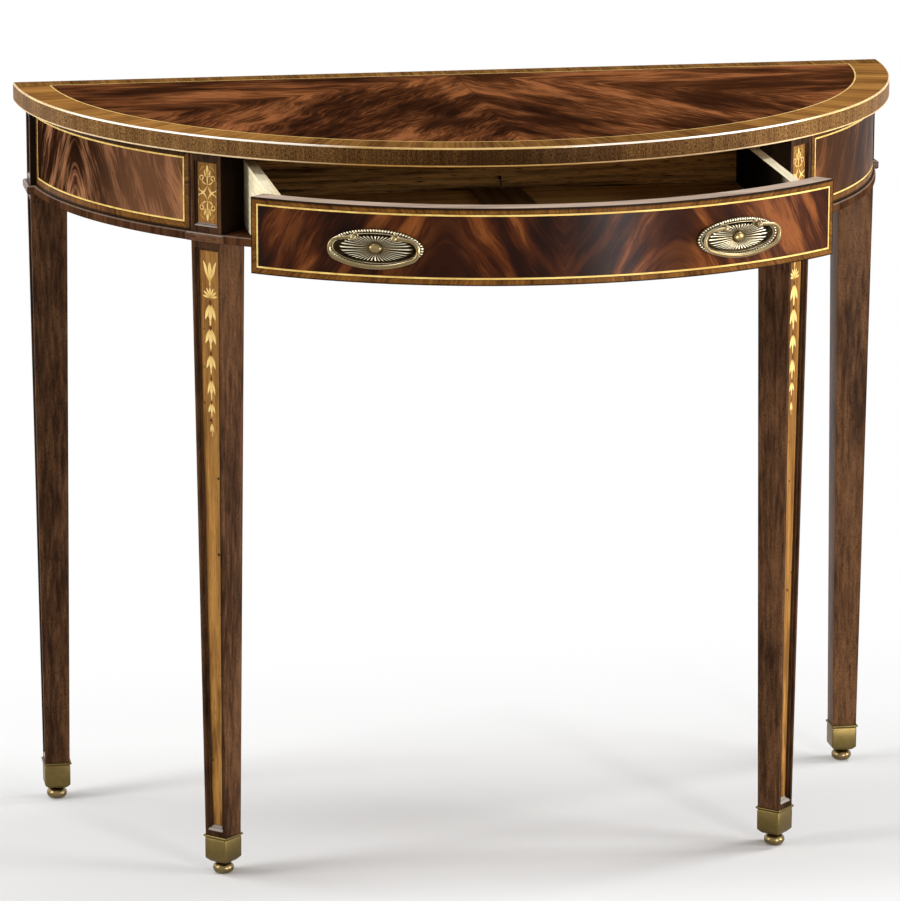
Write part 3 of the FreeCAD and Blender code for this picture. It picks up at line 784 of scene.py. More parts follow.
def round_place(paint: Paint, centre_y: float) -> tuple:
    """Reads the place about the half-circle's centre.

    Args:
        paint: Helper of the tree.
        centre_y: Where the centre stands.

    Returns:
        Distance to the right, before the centre and from it, in metres, and the turn to the right.
    """
    x, y, _ = object_place(paint)
    back = paint.math("SUBTRACT", centre_y, y)
    reach = paint.math("SQRT", paint.math("MULTIPLY_ADD", x, x, paint.math("MULTIPLY", back, back)))
    return x, back, reach, paint.math("ARCTAN2", x, back)


def piece_shade(paint: Paint) -> bpy.types.NodeSocket:
    """Reads the tint of a new piece."""
    return paint.node("ShaderNodeAttribute", attribute_name="shade").outputs["Fac"]


def face_way(paint: Paint) -> tuple:
    """Reads which way a face looks, as three values."""
    return paint.split(paint.node("ShaderNodeNewGeometry").outputs["Normal"])


@dataclass(frozen=True)
class Arch:
    """Shape of the nested arches on a panel, in metres.

    Attributes:
        axis: How far their axis stands from the panel's middle.
        spread: How round their heads are.
        slope: How steep their limbs are.
        drift: How much the pattern changes in a metre along the panel.
    """

    axis: float
    spread: float
    slope: float
    drift: float = 2.5


@dataclass(frozen=True)
class Fan:
    """Shape of the fan of leaves on the top.

    Attributes:
        leaf: Turn that one leaf takes.
        level: Stretch of the figure across the streaks.
        run: Stretch along them.
        drift: How much the pattern changes in a radian.
    """

    leaf: float = math.pi / 6
    level: float = 0.72
    run: float = 0.8
    drift: float = 0.5


DRAWER_ARCH = Arch(0.111, 0.016, 1.6)
FRIEZE_ARCH = Arch(-0.03, 0.01, 2.2)
FAN = Fan()


@dataclass(frozen=True)
class FlameFinish(Finish):
    """Flame-figured mahogany veneer.

    Attributes:
        layout: How the figure lies.
        centre_y: Centre of the half-circle, for the fan.
        middle: Height of the panel's middle, for the panels.
        seed: Picks the pattern.
        fine: Strength of the finest streaks.
        right_painted_light: Strength of the painted light that makes the right side's leaves lighter.
        reach: How far to the right the painted light grows, as drift.
        calm: Strength of the plain part of a frieze.
        deepest: Darkest colour.
        deep: Dark colour.
        warm: Middle colour.
        bright: Lightest colour.
        fleck: Colour of the flecks.
        patches: Strength of the dark patches.
        streaks: Strength of the dark streaks.
        joints: Strength of the joints between the fan's leaves.
        axis: Strength of the plain wood along an arch's axis.
    """

    layout: Layout = Layout.DRAWER
    centre_y: float = 0.0
    middle: float = 0.0
    seed: float = 0.0
    fine: float = 0.13
    right_painted_light: float = 0.25
    reach: float = 0.2
    calm: float = 0.4
    deepest: Colour = (22, 9, 4)
    deep: Colour = (38, 16, 7)
    warm: Colour = (70, 33, 13)
    bright: Colour = (126, 71, 34)
    fleck: Colour = (20, 10, 5)
    patches: float = 0.6
    streaks: float = 0.45
    joints: float = 0.5
    axis: float = 0.75

    def arches(self, paint: Paint, rise: object, across: object, along: object, arch: Arch) -> tuple:
        """Lays nested arches: the level is the height plus the slope times the distance from the axis.

        Args:
            paint: Helper of the material's tree.
            rise: Height over the panel's middle.
            across: Distance from the arches' axis, which is smoothed at the heads.
            along: Distance along the whole panel, which makes no two arches alike.
            arch: Shape of the arches.

        Returns:
            Level, run, drift and distance from the axis.
        """
        flank = paint.math("SQRT", paint.math("MULTIPLY_ADD", across, across, arch.spread ** 2))
        scale = 1.0 / math.hypot(1.0, arch.slope)
        level = paint.math("MULTIPLY", paint.math("MULTIPLY_ADD", flank, arch.slope, rise), scale)
        run = paint.math("MULTIPLY", paint.math("MULTIPLY_ADD", rise, -arch.slope, flank), scale)
        return level, run, paint.math("MULTIPLY_ADD", along, arch.drift, self.seed), flank

    def lay(self, paint: Paint) -> tuple:
        """Finds the place across and along the streaks.

        Args:
            paint: Helper of the material's tree.

        Returns:
            Level, run, drift and distance from the nearest seam or axis.
        """
        if self.layout is Layout.FAN:
            _, _, reach, turn = round_place(paint, self.centre_y)
            folded = paint.math("PINGPONG", paint.math("ADD", turn, math.pi / 2), FAN.leaf)
            level = paint.math("MULTIPLY", reach, paint.math("SINE", folded))
            run = paint.math("MULTIPLY", reach, paint.math("COSINE", folded))
            near = paint.math("MINIMUM", folded, paint.math("SUBTRACT", FAN.leaf, folded))
            drift = paint.math("MULTIPLY_ADD", turn, FAN.drift, self.seed)
            return (paint.math("MULTIPLY", level, FAN.level), paint.math("MULTIPLY", run, FAN.run), drift,
                    paint.math("MULTIPLY", reach, near))
        along, height, _ = chart_place(paint)
        rise = paint.math("SUBTRACT", height, self.middle)
        if self.layout is Layout.DRAWER:
            across = paint.math("SUBTRACT", paint.math("ABSOLUTE", along), DRAWER_ARCH.axis)
            return self.arches(paint, rise, across, along, DRAWER_ARCH)
        across = paint.math("SUBTRACT", along, FRIEZE_ARCH.axis)
        return self.arches(paint, rise, across, along, FRIEZE_ARCH)

    def colour(self, paint: Paint, shader: bpy.types.Node) -> None:
        """Paints dark to bright along the figure, with painted light to the right, dark patches, streaks,
        seams and flecks.
        """
        level, run, drift, seam = self.lay(paint)
        figure = paint.call(flame_group(), Level=level, Run=run, Drift=drift, Fine=self.fine)
        value = figure.outputs["Figure"]
        if self.layout is not Layout.FRIEZE:
            # Painted light: the figure lightens towards the right, on the drawer and the top.
            right = paint.span(drift, self.seed, self.seed + self.reach)
            value = paint.math("MULTIPLY_ADD", right, self.right_painted_light, value)
        tone = paint.ramp(value, (0.0, display(*self.deepest)), (0.34, display(*self.deep)),
                          (0.68, display(*self.warm)), (1.0, display(*self.bright)))
        tone = paint.veil(figure.outputs["Patch"], self.patches, tone, self.deepest)
        tone = paint.veil(figure.outputs["Streak"], self.streaks, tone, self.deepest)
        if self.layout is Layout.FAN:
            joint = paint.math("SUBTRACT", 1.0, paint.span(seam, 0.0002, 0.0009))
            tone = paint.veil(joint, self.joints, tone, self.deepest)
        if self.layout is Layout.DRAWER:
            calm = paint.math("SUBTRACT", 1.0, paint.span(seam, 0.015, 0.034))
            tone = paint.veil(calm, self.axis, tone, self.deep)
        if self.layout is Layout.FRIEZE:
            calm = paint.span(drift, self.seed - 0.05, self.seed + 0.25)
            tone = paint.veil(calm, self.calm, tone, self.warm)
        place = paint.merge(level, run, drift)
        flecks = paint.call(fleck_group(), Vector=place, Scale=210.0, Share=0.025)
        tone = paint.veil(flecks.outputs[0], 0.7, tone, self.fleck)
        paint.feed(shader.inputs["Base Color"], tone)
        self.relief(paint, shader, figure.outputs["Streak"], 0.12, 0.0002)


@dataclass(frozen=True)
class TimberFinish(Finish):
    """Plain timber with straight grain.

    Attributes:
        grain: Which way the grain runs.
        centre_y: Centre of the half-circle, for radial grain.
        back_band: Depth of the straight back band, for radial grain.
        dark: Dark colour of the grain.
        light: Light colour of the grain.
        pore: Colour of the pores.
        pores: Strength of the pores.
        flecks: Share of the surface's cells with a dark fleck.
        rub: Strength of the rubbed edges, lighter partly from wear and partly as painted highlight.
        rubbed: Colour of the rubbed edges and of the painted highlight on upward faces.
        seed: Picks the pattern.
        mottle: Strength of a fine crinkled figure.
        tinted: Strength of the pore colour where the piece's shade is 1; that shade may be painted shade or
            highlight.
        top_highlight: Strength of the painted highlight, in the rubbed colour, on faces that lean upwards.
        short: How many times shorter than long planks' the marks of upright grain are.
        front_shade_and_back_tone: Strength of the pore colour as painted shade at the half-circle's front,
            and on its back band, for radial grain.
        band_radius: Middle radius of the round band, for radial grain.
        rub_radius: How far from an edge it is rubbed.
    """

    grain: Grain = Grain.UP
    centre_y: float = 0.0
    back_band: float = 0.0
    dark: Colour = (44, 28, 18)
    light: Colour = (92, 64, 44)
    pore: Colour = (18, 10, 6)
    pores: float = 0.45
    flecks: float = 0.05
    rub: float = 0.0
    rubbed: Colour = (150, 120, 92)
    seed: float = 0.0
    mottle: float = 0.0
    tinted: float = 0.0
    top_highlight: float = 0.0
    short: float = 1.0
    front_shade_and_back_tone: float = 0.0
    band_radius: float = 0.44
    rub_radius: float = 0.0012

    def lay(self, paint: Paint) -> tuple:
        """Finds the place with the grain last.

        Args:
            paint: Helper of the material's tree.

        Returns:
            Two values across the grain and one along it.
        """
        if self.grain is Grain.CHART:
            along, across, _ = chart_place(paint)
            return along, 0.0, across
        if self.grain is Grain.RADIAL:
            x, back, reach, turn = round_place(paint, self.centre_y)
            bow = paint.math("MULTIPLY", turn, self.band_radius)
            front = paint.math("GREATER_THAN", back, self.back_band)
            behind = paint.math("SUBTRACT", 1.0, front)
            across = paint.math("MULTIPLY_ADD", bow, front, paint.math("MULTIPLY", x, behind))
            along = paint.math("MULTIPLY_ADD", reach, front, paint.math("MULTIPLY", back, behind))
            return across, 0.0, along
        x, y, z = object_place(paint)
        if self.grain is Grain.ACROSS:
            return y, z, x
        if self.grain is Grain.BACK:
            return x, z, y
        return x, y, paint.math("MULTIPLY", z, self.short)

    def tone(self, paint: Paint, place: object, grain: bpy.types.Node) -> bpy.types.NodeSocket:
        """Mixes the grain from dark to light, then pores, flecks, painted shade and highlights and rubbed
        edges.

        Args:
            paint: Helper of the material's tree.
            place: Where the patterns are read.
            grain: The grain's group node.

        Returns:
            The colour.
        """
        tone = paint.ramp(grain.outputs["Tone"], (0.0, display(*self.dark)), (1.0, display(*self.light)))
        tone = paint.veil(grain.outputs["Pores"], self.pores, tone, self.pore)
        if self.mottle:
            crinkle = paint.stretched(paint.split(place), (760.0, 760.0, 420.0), 2.0, 2.0)
            tone = paint.veil(paint.span(crinkle, 0.4, 0.66), self.mottle, tone, self.pore)
        if self.flecks:
            flecks = paint.call(fleck_group(), Vector=place, Scale=190.0, Share=self.flecks)
            tone = paint.veil(flecks.outputs[0], 0.8, tone, self.pore)
        # The piece's shade holds dark edge lines, painted shade or, with a pale pore colour, a painted
        # highlight.
        if self.tinted:
            tone = paint.veil(piece_shade(paint), self.tinted, tone, self.pore)
        # Painted shade towards the half-circle's front; the straight back band is darkened too.
        if self.front_shade_and_back_tone:
            _, y, _ = object_place(paint)
            back = paint.math("SUBTRACT", self.centre_y, y)
            behind = paint.math("LESS_THAN", back, self.back_band)
            ends = paint.math("MAXIMUM", paint.span(back, 0.3, 0.44), behind)
            tone = paint.veil(ends, self.front_shade_and_back_tone, tone, self.pore)
        # Rubbed edges turn lighter: partly wear, partly painted highlight.
        if self.rub:
            worn = paint.call(rub_group(), Radius=self.rub_radius)
            tone = paint.veil(worn.outputs[0], self.rub, tone, self.rubbed)
        # Painted highlight: faces leaning upwards take the rubbed colour.
        if self.top_highlight:
            _, _, rise = face_way(paint)
            lean = paint.math("SUBTRACT", paint.span(rise, 0.4, 0.65), paint.span(rise, 0.8, 0.97))
            tone = paint.veil(lean, self.top_highlight, tone, self.rubbed)
        return tone

    def colour(self, paint: Paint, shader: bpy.types.Node) -> None:
        """Feeds the mixed colour and a fine relief of the grain."""
        place = paint.merge(*self.lay(paint))
        grain = paint.call(grain_group(), Vector=place, Seed=self.seed)
        paint.feed(shader.inputs["Base Color"], self.tone(paint, place, grain))
        self.relief(paint, shader, grain.outputs["Tone"], 0.1, 0.0002)


@dataclass(frozen=True)
class BoxFinish(TimberFinish):
    """Drawer side with painted shade on its inner face, deeper towards the back.

    Attributes:
        start: Where the painted shade starts.
        reach: How far it takes to grow.
        painted_shade_colour: Colour of the painted shade.
        strength: How strong it is.
    """

    start: float = 0.0
    reach: float = 0.1
    painted_shade_colour: Colour = (10, 5, 3)
    strength: float = 0.99

    def tone(self, paint: Paint, place: object, grain: bpy.types.Node) -> bpy.types.NodeSocket:
        """Paints shade on the faces that look towards the drawer's middle, deeper towards the back."""
        pale = super().tone(paint, place, grain)
        x, y, _ = object_place(paint)
        side, _, _ = face_way(paint)
        # Painted shade: faces that look towards the drawer's middle darken from the start backwards.
        inner = paint.span(paint.math("MULTIPLY", paint.math("MULTIPLY", x, side), -5.0), 0.3, 0.7)
        depth = paint.span(y, self.start, self.start + self.reach)
        return paint.veil(paint.math("MULTIPLY", inner, depth), self.strength, pale, self.painted_shade_colour)


@dataclass(frozen=True)
class InlayFinish(TimberFinish):
    """Satinwood of a sunk panel, stained towards its foot.

    Attributes:
        stain: Colour of the stain.
        stain_top: Height at which the stain ends.
    """

    stain: Colour = (70, 42, 20)
    stain_top: float = 0.4

    def colour(self, paint: Paint, shader: bpy.types.Node) -> None:
        """Paints the grain, then the stain at the foot and dark flecks."""
        x, y, z = object_place(paint)
        place = paint.merge(x, y, z)
        grain = paint.call(grain_group(), Vector=place, Seed=self.seed)
        tone = paint.ramp(grain.outputs["Tone"], (0.0, display(*self.dark)), (1.0, display(*self.light)))
        cloud = paint.stretched((x, y, z), (160.0, 160.0, 18.0), 3.0, 3.0)
        low = paint.math("SUBTRACT", 1.0, paint.span(z, 0.05, self.stain_top))
        share = paint.math("MULTIPLY_ADD", low, 0.6, 0.2)
        stain = paint.math("MULTIPLY", share, paint.span(cloud, 0.4, 0.65))
        pores = paint.math("MULTIPLY", grain.outputs["Pores"], 0.6)
        tone = paint.blend(paint.math("MAXIMUM", stain, pores), tone, display(*self.stain))
        flecks = paint.call(fleck_group(), Vector=place, Scale=170.0, Share=self.flecks)
        tone = paint.blend(flecks.outputs[0], tone, display(*self.pore))
        paint.feed(shader.inputs["Base Color"], tone)
        self.relief(paint, shader, grain.outputs["Tone"], 0.08, 0.0002)


@dataclass(frozen=True)
class TintedFinish(Finish):
    """Marquetry wood or metal whose colour follows the piece's shade from dark to light.

    Attributes:
        dark: Colour at shade 0.
        middle: Colour at shade one half.
        light: Colour at shade 1.
        metal: Metallic amount.
        cloud: Strength of the blotches.
        rub: Strength of the rubbed edges.
        rub_radius: How far from an edge it is rubbed.
    """

    dark: Colour = (120, 82, 40)
    middle: Colour = (190, 150, 90)
    light: Colour = (226, 198, 140)
    metal: float = 0.0
    cloud: float = 0.25
    rub: float = 0.0
    rub_radius: float = 0.0008

    def colour(self, paint: Paint, shader: bpy.types.Node) -> None:
        """Paints the shade through three colours, with blotches and rubbed edges."""
        cloud = paint.stretched(object_place(paint), (190.0, 190.0, 190.0), 5.0, 4.0)
        shift = paint.math("MULTIPLY_ADD", cloud, self.cloud, -0.5 * self.cloud)
        shade = paint.math("ADD", piece_shade(paint), shift)
        if self.rub:
            worn = paint.call(rub_group(), Radius=self.rub_radius)
            shade = paint.math("MULTIPLY_ADD", worn.outputs[0], self.rub, shade)
        tone = paint.ramp(shade, (0.0, display(*self.dark)), (0.5, display(*self.middle)),
                          (1.0, display(*self.light)))
        paint.feed(shader.inputs["Base Color"], tone)
        shader.inputs["Metallic"].default_value = self.metal
        self.relief(paint, shader, cloud, 0.06, 0.0003)


# Sub-assemblies

def middle_height(node: str) -> float:
    """Finds the height of a CAD node's middle."""
    low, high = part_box(node)
    return (low.z + high.z) / 2


@dataclass(frozen=True)
class Joinery:
    """Sizes that the pieces share, in metres.

    Attributes:
        frieze_radius: Face of the frieze and of the drawer front.
        veneer: Thickness of a veneer with its glue line.
        glue_line: Gap behind a veneer.
        string_width: Width of the pale strings.
        fan_inset: How far the fan of the top's veneers starts before the back edge.
    """

    frieze_radius: float = 0.4415
    veneer: float = 0.0015
    glue_line: float = 0.00015
    string_width: float = 0.0017
    fan_inset: float = 0.0257

    @property
    def back(self) -> float:
        """Where the half-circle's centre line stands: the highest y of the top."""
        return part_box("top_core")[1].y

    @property
    def sheet(self) -> float:
        """Thickness of a veneer without its glue line."""
        return self.veneer - self.glue_line


@dataclass
class Palette:
    """All the finishes.

    Attributes:
        joinery: Shared sizes.
    """

    joinery: Joinery

    def __post_init__(self) -> None:
        """Makes the finishes from the shared sizes."""
        self.flames()
        self.bands()
        self.woods()
        self.drawer_woods()
        self.metals()

    def flames(self) -> None:
        """Makes the flame veneers of the top, the drawer and the friezes."""
        self.top_field = FlameFinish(
            "top_flame", "flame_veneer", 0.5, 0.0, Layout.FAN,
            centre_y=self.joinery.back - self.joinery.fan_inset, seed=11.0, fine=0.4, right_painted_light=0.18, reach=0.5,
            deepest=(38, 19, 10), deep=(70, 38, 20), warm=(104, 60, 33), bright=(150, 92, 54))
        self.drawer_field = FlameFinish(
            "drawer_flame", "flame_veneer", 0.3, 0.045, Layout.DRAWER,
            middle=middle_height("drawer_front_veneer"), seed=3.0)
        middle = middle_height("left_frieze_veneer")
        # The two friezes hold lighter and darker copies of one flame: painted light on the left, painted
        # shade on the right.
        self.frieze_fields = {
            "left": FlameFinish(
                "left_frieze_flame", "flame_veneer", 0.4, 0.0, Layout.FRIEZE, middle=middle, seed=23.0,
                fine=0.3, deepest=(24, 13, 7), deep=(54, 30, 17), warm=(144, 98, 68), bright=(162, 110, 70)),
            "right": FlameFinish(
                "right_frieze_flame", "flame_veneer", 0.4, 0.02, Layout.FRIEZE, middle=middle, seed=23.0,
                fine=0.3, calm=0.3, deepest=(28, 14, 7), deep=(52, 29, 15), warm=(88, 53, 28),
                bright=(128, 81, 46))}

    def bands(self) -> None:
        """Makes the crossbands and the pale strings."""
        self.top_band = TimberFinish(
            "top_crossband", "crossband", 0.5, 0.0, Grain.RADIAL, centre_y=self.joinery.back, back_band=0.026,
            dark=(102, 64, 31), light=(182, 130, 67), pores=0.35, flecks=0.03, front_shade_and_back_tone=0.4)
        self.band = TimberFinish(
            "panel_crossband", "crossband", 0.42, 0.03, Grain.CHART, dark=(66, 36, 13), light=(138, 90, 37),
            pore=(12, 6, 3), pores=0.5, seed=4.0, mottle=0.3, tinted=0.95)
        # The edge band's tint reads the painted shade swept with it.
        self.edge = TimberFinish(
            "edge_crossband", "crossband", 0.4, 0.02, Grain.CHART, dark=(104, 72, 40), light=(152, 112, 64),
            pore=(36, 19, 8), pores=0.4, flecks=0.07, seed=8.0, mottle=0.8, tinted=0.7)
        self.string = TimberFinish(
            "boxwood_string", "boxwood", 0.42, 0.03, Grain.ACROSS, dark=(200, 160, 82), light=(240, 208, 126),
            pores=0.15, flecks=0.01, pore=(120, 80, 36))
        # The arris's near-white pore colour, laid where the strings' shade says, is a painted highlight.
        self.arris = TimberFinish(
            "boxwood_arris", "boxwood", 0.2, 0.6, Grain.ACROSS, dark=(190, 146, 74), light=(230, 192, 116),
            pores=0.1, flecks=0.0, pore=(255, 250, 238), tinted=0.85)

    def woods(self) -> None:
        """Makes the solid mahogany, the inlays and the hidden wood."""
        # The bead, the legs and the collars get a painted highlight on faces that lean upwards.
        self.moulding = TimberFinish(
            "bead_mahogany", "mahogany", 0.25, 0.0, Grain.CHART, dark=(40, 23, 14), light=(90, 58, 37),
            pores=0.5, flecks=0.08, seed=6.0, top_highlight=0.2, rubbed=(208, 192, 174))
        # The legs' tint reads their painted shade.
        self.leg = TimberFinish(
            "leg_mahogany", "mahogany", 0.3, 0.02, Grain.UP, dark=(52, 33, 21), light=(110, 76, 50),
            pore=(12, 7, 4), pores=0.6, flecks=0.08, rubbed=(226, 214, 202), seed=1.0, tinted=0.92, top_highlight=0.4,
            mottle=0.4, short=3.5)
        self.collar = TimberFinish(
            "collar_mahogany", "mahogany", 0.25, 0.05, Grain.ACROSS, dark=(50, 30, 18), light=(100, 67, 42),
            pores=0.45, rub=0.15, rubbed=(206, 192, 180), top_highlight=0.35)
        self.inlay = InlayFinish(
            "satinwood_panel", "satinwood", 0.45, 0.03, dark=(114, 75, 36), light=(180, 130, 67),
            pore=(50, 28, 12), flecks=0.06)
        self.motif = TintedFinish(
            "holly_marquetry", "boxwood", 0.45, 0.03, dark=(160, 112, 50), middle=(208, 166, 90),
            light=(238, 206, 132))
        self.scorch = TintedFinish(
            "scorched_marquetry", "mahogany", 0.5, 0.05, dark=(34, 18, 8), middle=(64, 38, 18),
            light=(96, 60, 30))
        self.secondary = TimberFinish(
            "secondary_wood", "secondary", 0.6, 0.05, Grain.ACROSS, dark=(104, 74, 44), light=(160, 122, 78),
            pores=0.35, flecks=0.03, seed=7.0)

    def drawer_woods(self) -> None:
        """Makes the woods of the drawer box."""
        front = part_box("drawer_right_side")[0].y
        self.oak = BoxFinish(
            "drawer_oak", "oak", 0.55, 0.0, Grain.BACK, dark=(224, 207, 164), light=(242, 235, 209),
            pores=0.7, pore=(172, 140, 84), flecks=0.01, start=front + 0.006, reach=0.075)
        self.drawer_back = TimberFinish(
            "drawer_back_oak", "oak", 0.55, 0.0, Grain.ACROSS, dark=(44, 27, 12), light=(236, 186, 114),
            pores=0.95, pore=(22, 12, 6), flecks=0.03, seed=2.0)
        self.drawer_bottom = TimberFinish(
            "drawer_bottom_oak", "oak", 0.6, 0.0, Grain.ACROSS, dark=(176, 132, 70), light=(226, 180, 108),
            pores=0.5, flecks=0.02, seed=5.0)
        self.muntin = TimberFinish(
            "muntin_oak", "secondary", 0.6, 0.05, Grain.BACK, dark=(84, 58, 30), light=(124, 90, 50),
            pores=0.5, flecks=0.02, seed=9.0)
        self.drawer_edge = TimberFinish(
            "drawer_edge", "mahogany", 0.34, 0.03, Grain.ACROSS, dark=(140, 116, 98), light=(196, 171, 150),
            pores=0.25, pore=(120, 90, 70), flecks=0.01)

    def metals(self) -> None:
        """Makes the brasses and the iron."""
        self.brass = TintedFinish(
            "antique_brass", "brass", 0.3, 0.5, dark=(20, 13, 6), middle=(132, 113, 76),
            light=(248, 237, 206), metal=1.0, cloud=0.2, rub=0.1)
        self.dull_brass = TintedFinish(
            "sabot_brass", "brass", 0.42, 0.5, dark=(60, 48, 24), middle=(130, 111, 66),
            light=(198, 173, 112), metal=1.0, cloud=0.22, rub=0.3)
        self.iron = TintedFinish(
            "pin_iron", "secondary", 0.4, 0.4, dark=(14, 11, 9), middle=(40, 34, 28), light=(120, 112, 98))


@dataclass
class Top:
    """The half-round top.

    Attributes:
        joinery: Shared sizes.
        palette: Finishes.
        round_over: Radius of the worn arrises.
        spans: Spans round the half-circle.
        highlight_spots: Turn and half-width of the painted highlight on the edge strings, in degrees.
        highlight_fade: How many degrees its ends take to fade.
        low_highlight: Strength of the lower string's painted highlight as a share of the upper one's.
        shadow: Turn and half-width of the painted shade along the edge band, in radians.
    """

    joinery: Joinery
    palette: Palette
    round_over: float = 0.0011
    spans: int = 240
    highlight_spots: tuple[tuple[float, float], ...] = ((-45.5, 25.0), (24.0, 21.0))
    highlight_fade: float = 8.0
    low_highlight: float = 0.25
    shadow: tuple[float, float] = (-0.08, 0.32)

    def build(self) -> None:
        """Sweeps the edge band and strings, and dresses the flat veneers."""
        low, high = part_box("edge_strings")
        band_low, band_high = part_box("edge_band")
        reach = high.x
        inner = reach - self.joinery.sheet
        wall = RoundWall(self.joinery.back, reach)
        corner = self.round_over
        bottom = np.concatenate([
            [[inner, low.z]], arc((reach - corner, low.z + corner), corner, -90, 0, 5),
            [[reach, band_low.z], [inner, band_low.z]]])
        upper = np.concatenate([
            [[inner, band_high.z], [reach, band_high.z]],
            arc((reach - corner, high.z - corner), corner, 0, 90, 5), [[inner, high.z]]])
        middle = np.array([
            [inner, band_low.z], [reach, band_low.z], [reach, band_high.z], [inner, band_high.z]])
        limit = math.pi / 2
        turn = np.linspace(-limit, limit, self.spans + 1)
        # Painted highlight on the edge strings over the listed turns, weaker on the lower string.
        worn = sum(np.clip((width - np.abs(np.degrees(turn) - spot)) / self.highlight_fade, 0.0, 1.0)
                   for spot, width in self.highlight_spots)
        # Painted shade along the front of the edge band.
        dark = np.exp(-((turn - self.shadow[0]) / self.shadow[1]) ** 2)
        strings, band = Shell(), Shell()
        wall.sweep(strings, bottom, -limit, limit, self.spans, self.low_highlight * worn)
        wall.sweep(strings, upper, -limit, limit, self.spans, worn)
        wall.sweep(band, middle, -limit, limit, self.spans, dark)
        self.palette.arris.cover(strings.build("edge_stringing"), "table", "edge_strings")
        self.palette.edge.cover(band.build("edge_veneer"), "table", "edge_band")
        self.palette.top_field.dress("top_field_veneer")
        self.palette.top_band.dress("top_crossband")
        self.palette.string.dress("top_string")
        self.palette.secondary.dress("top_core")


@dataclass
class RoundPanel:
    """A round panel: a framed and strung flame veneer, on a frieze or on the drawer.

    Attributes:
        prefix: Start of the names of its CAD nodes.
        body: Body it rides on.
        joinery: Shared sizes.
        palette: Finishes.
        field: Finish of its veneer.
        band_width: Width of the crossband.
        rim: Share of the crossband's width that is dark along its outer edge.
        spans: Spans along the veneer.
    """

    prefix: str
    body: str
    joinery: Joinery
    palette: Palette
    field: FlameFinish
    band_width: float
    rim: float = 0.4
    spans: int = 160

    def limits(self) -> tuple[RoundWall, Points, Points]:
        """Finds the wall and the panel's corners.

        Returns:
            The wall, and the lowest and highest arc length and height.
        """
        radius = self.joinery.frieze_radius
        low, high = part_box(f"{self.prefix}_band")
        if self.body == "drawer":
            wall = RoundWall(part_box(f"{self.prefix}_veneer")[0].y + radius, radius)
            reach = radius * math.asin(high.x / radius)
            return wall, np.array([-reach, low.z]), np.array([reach, high.z])
        wall = RoundWall(self.joinery.back, radius)
        far = radius * math.acos((self.joinery.back - high.y) / radius)
        near = radius * math.asin(min(abs(low.x), abs(high.x)) / (radius - self.joinery.sheet))
        first, last = (-far, -near) if high.x < 0 else (near, far)
        return wall, np.array([first, low.z]), np.array([last, high.z])

    def build(self) -> None:
        """Lays the band, the string and the field as bent sheets of veneer."""
        wall, low, high = self.limits()
        sheet, step = self.joinery.sheet, self.joinery.string_width
        band, string, field_sheet = Shell(), Shell(), Shell()
        wall.frame_of(band, low, high, self.band_width, sheet, rim=self.rim)
        low, high = low + self.band_width, high - self.band_width
        wall.frame_of(string, low, high, step, sheet)
        low, high = low + step, high - step
        corners = np.array([low, [low[0], high[1]], [high[0], low[1]], high])
        wall.slab(field_sheet, corners, sheet, self.spans)
        if self.field.layout is Layout.FRIEZE:
            middle = (low[0] + high[0]) / 2
            turned = np.array([-math.copysign(1.0, middle), 1.0])
            field_sheet.charts = [(chart - np.array([middle, 0.0])) * turned for chart in field_sheet.charts]
        parts = (("band", band, self.palette.band), ("string", string, self.palette.string),
                 ("veneer", field_sheet, self.field))
        for part, shell, finish in parts:
            finish.cover(shell.build(f"{self.prefix}_{part}_sheet"), self.body, f"{self.prefix}_{part}")


@dataclass
class Apron:
    """The friezes, the bead mouldings and the drawer rail.

    Attributes:
        joinery: Shared sizes.
        palette: Finishes.
        corner: Radius of the bead's two corners.
        rail_width: Depth of the drawer rail.
        band_width: Width of the friezes' crossbands.
        bead_rise: How far the bead stands before the frieze.
        bead_depth: How far the moulding reaches behind the frieze's face.
    """

    joinery: Joinery
    palette: Palette
    corner: float = 0.0026
    rail_width: float = 0.05
    band_width: float = 0.008
    bead_rise: float = 0.0032
    bead_depth: float = 0.02

    def bead(self, low: float, high: float, inner: float, outer: float) -> Points:
        """Outlines the bead: a block between two heights and reaches, with two round corners."""
        turn = self.corner
        return np.concatenate([[[inner, low]], arc((outer - turn, low + turn), turn, -90, 0, 8),
                               arc((outer - turn, high - turn), turn, 0, 90, 8), [[inner, high]]])

    def build(self) -> None:
        """Builds both friezes, both mouldings and the rail."""
        radius, back = self.joinery.frieze_radius, self.joinery.back
        outer = radius + self.bead_rise
        wall = RoundWall(back, outer)
        for side in ("left", "right"):
            RoundPanel(f"{side}_frieze", "table", self.joinery, self.palette,
                       self.palette.frieze_fields[side], self.band_width).build()
            low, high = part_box(f"{side}_moulding")
            far = math.acos((back - high.y) / outer)
            limits = (-far, -LEG_TURN) if side == "left" else (LEG_TURN, far)
            shell = Shell()
            wall.sweep(shell, self.bead(low.z, high.z, radius - self.bead_depth, outer), *limits)
            self.palette.moulding.cover(shell.build(f"{side}_bead"), "table", f"{side}_moulding")
            self.palette.secondary.dress(f"{side}_frieze")
        low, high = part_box("drawer_rail")
        shell = Shell()
        wall.sweep(shell, self.bead(low.z, high.z, outer - self.rail_width, outer), -LEG_TURN, LEG_TURN)
        self.palette.moulding.cover(shell.build("drawer_rail_bead"), "table", "drawer_rail")
        self.palette.secondary.dress(
            "back_rail", "left_runner", "right_runner", "left_kicker", "right_kicker", "glue_blocks")


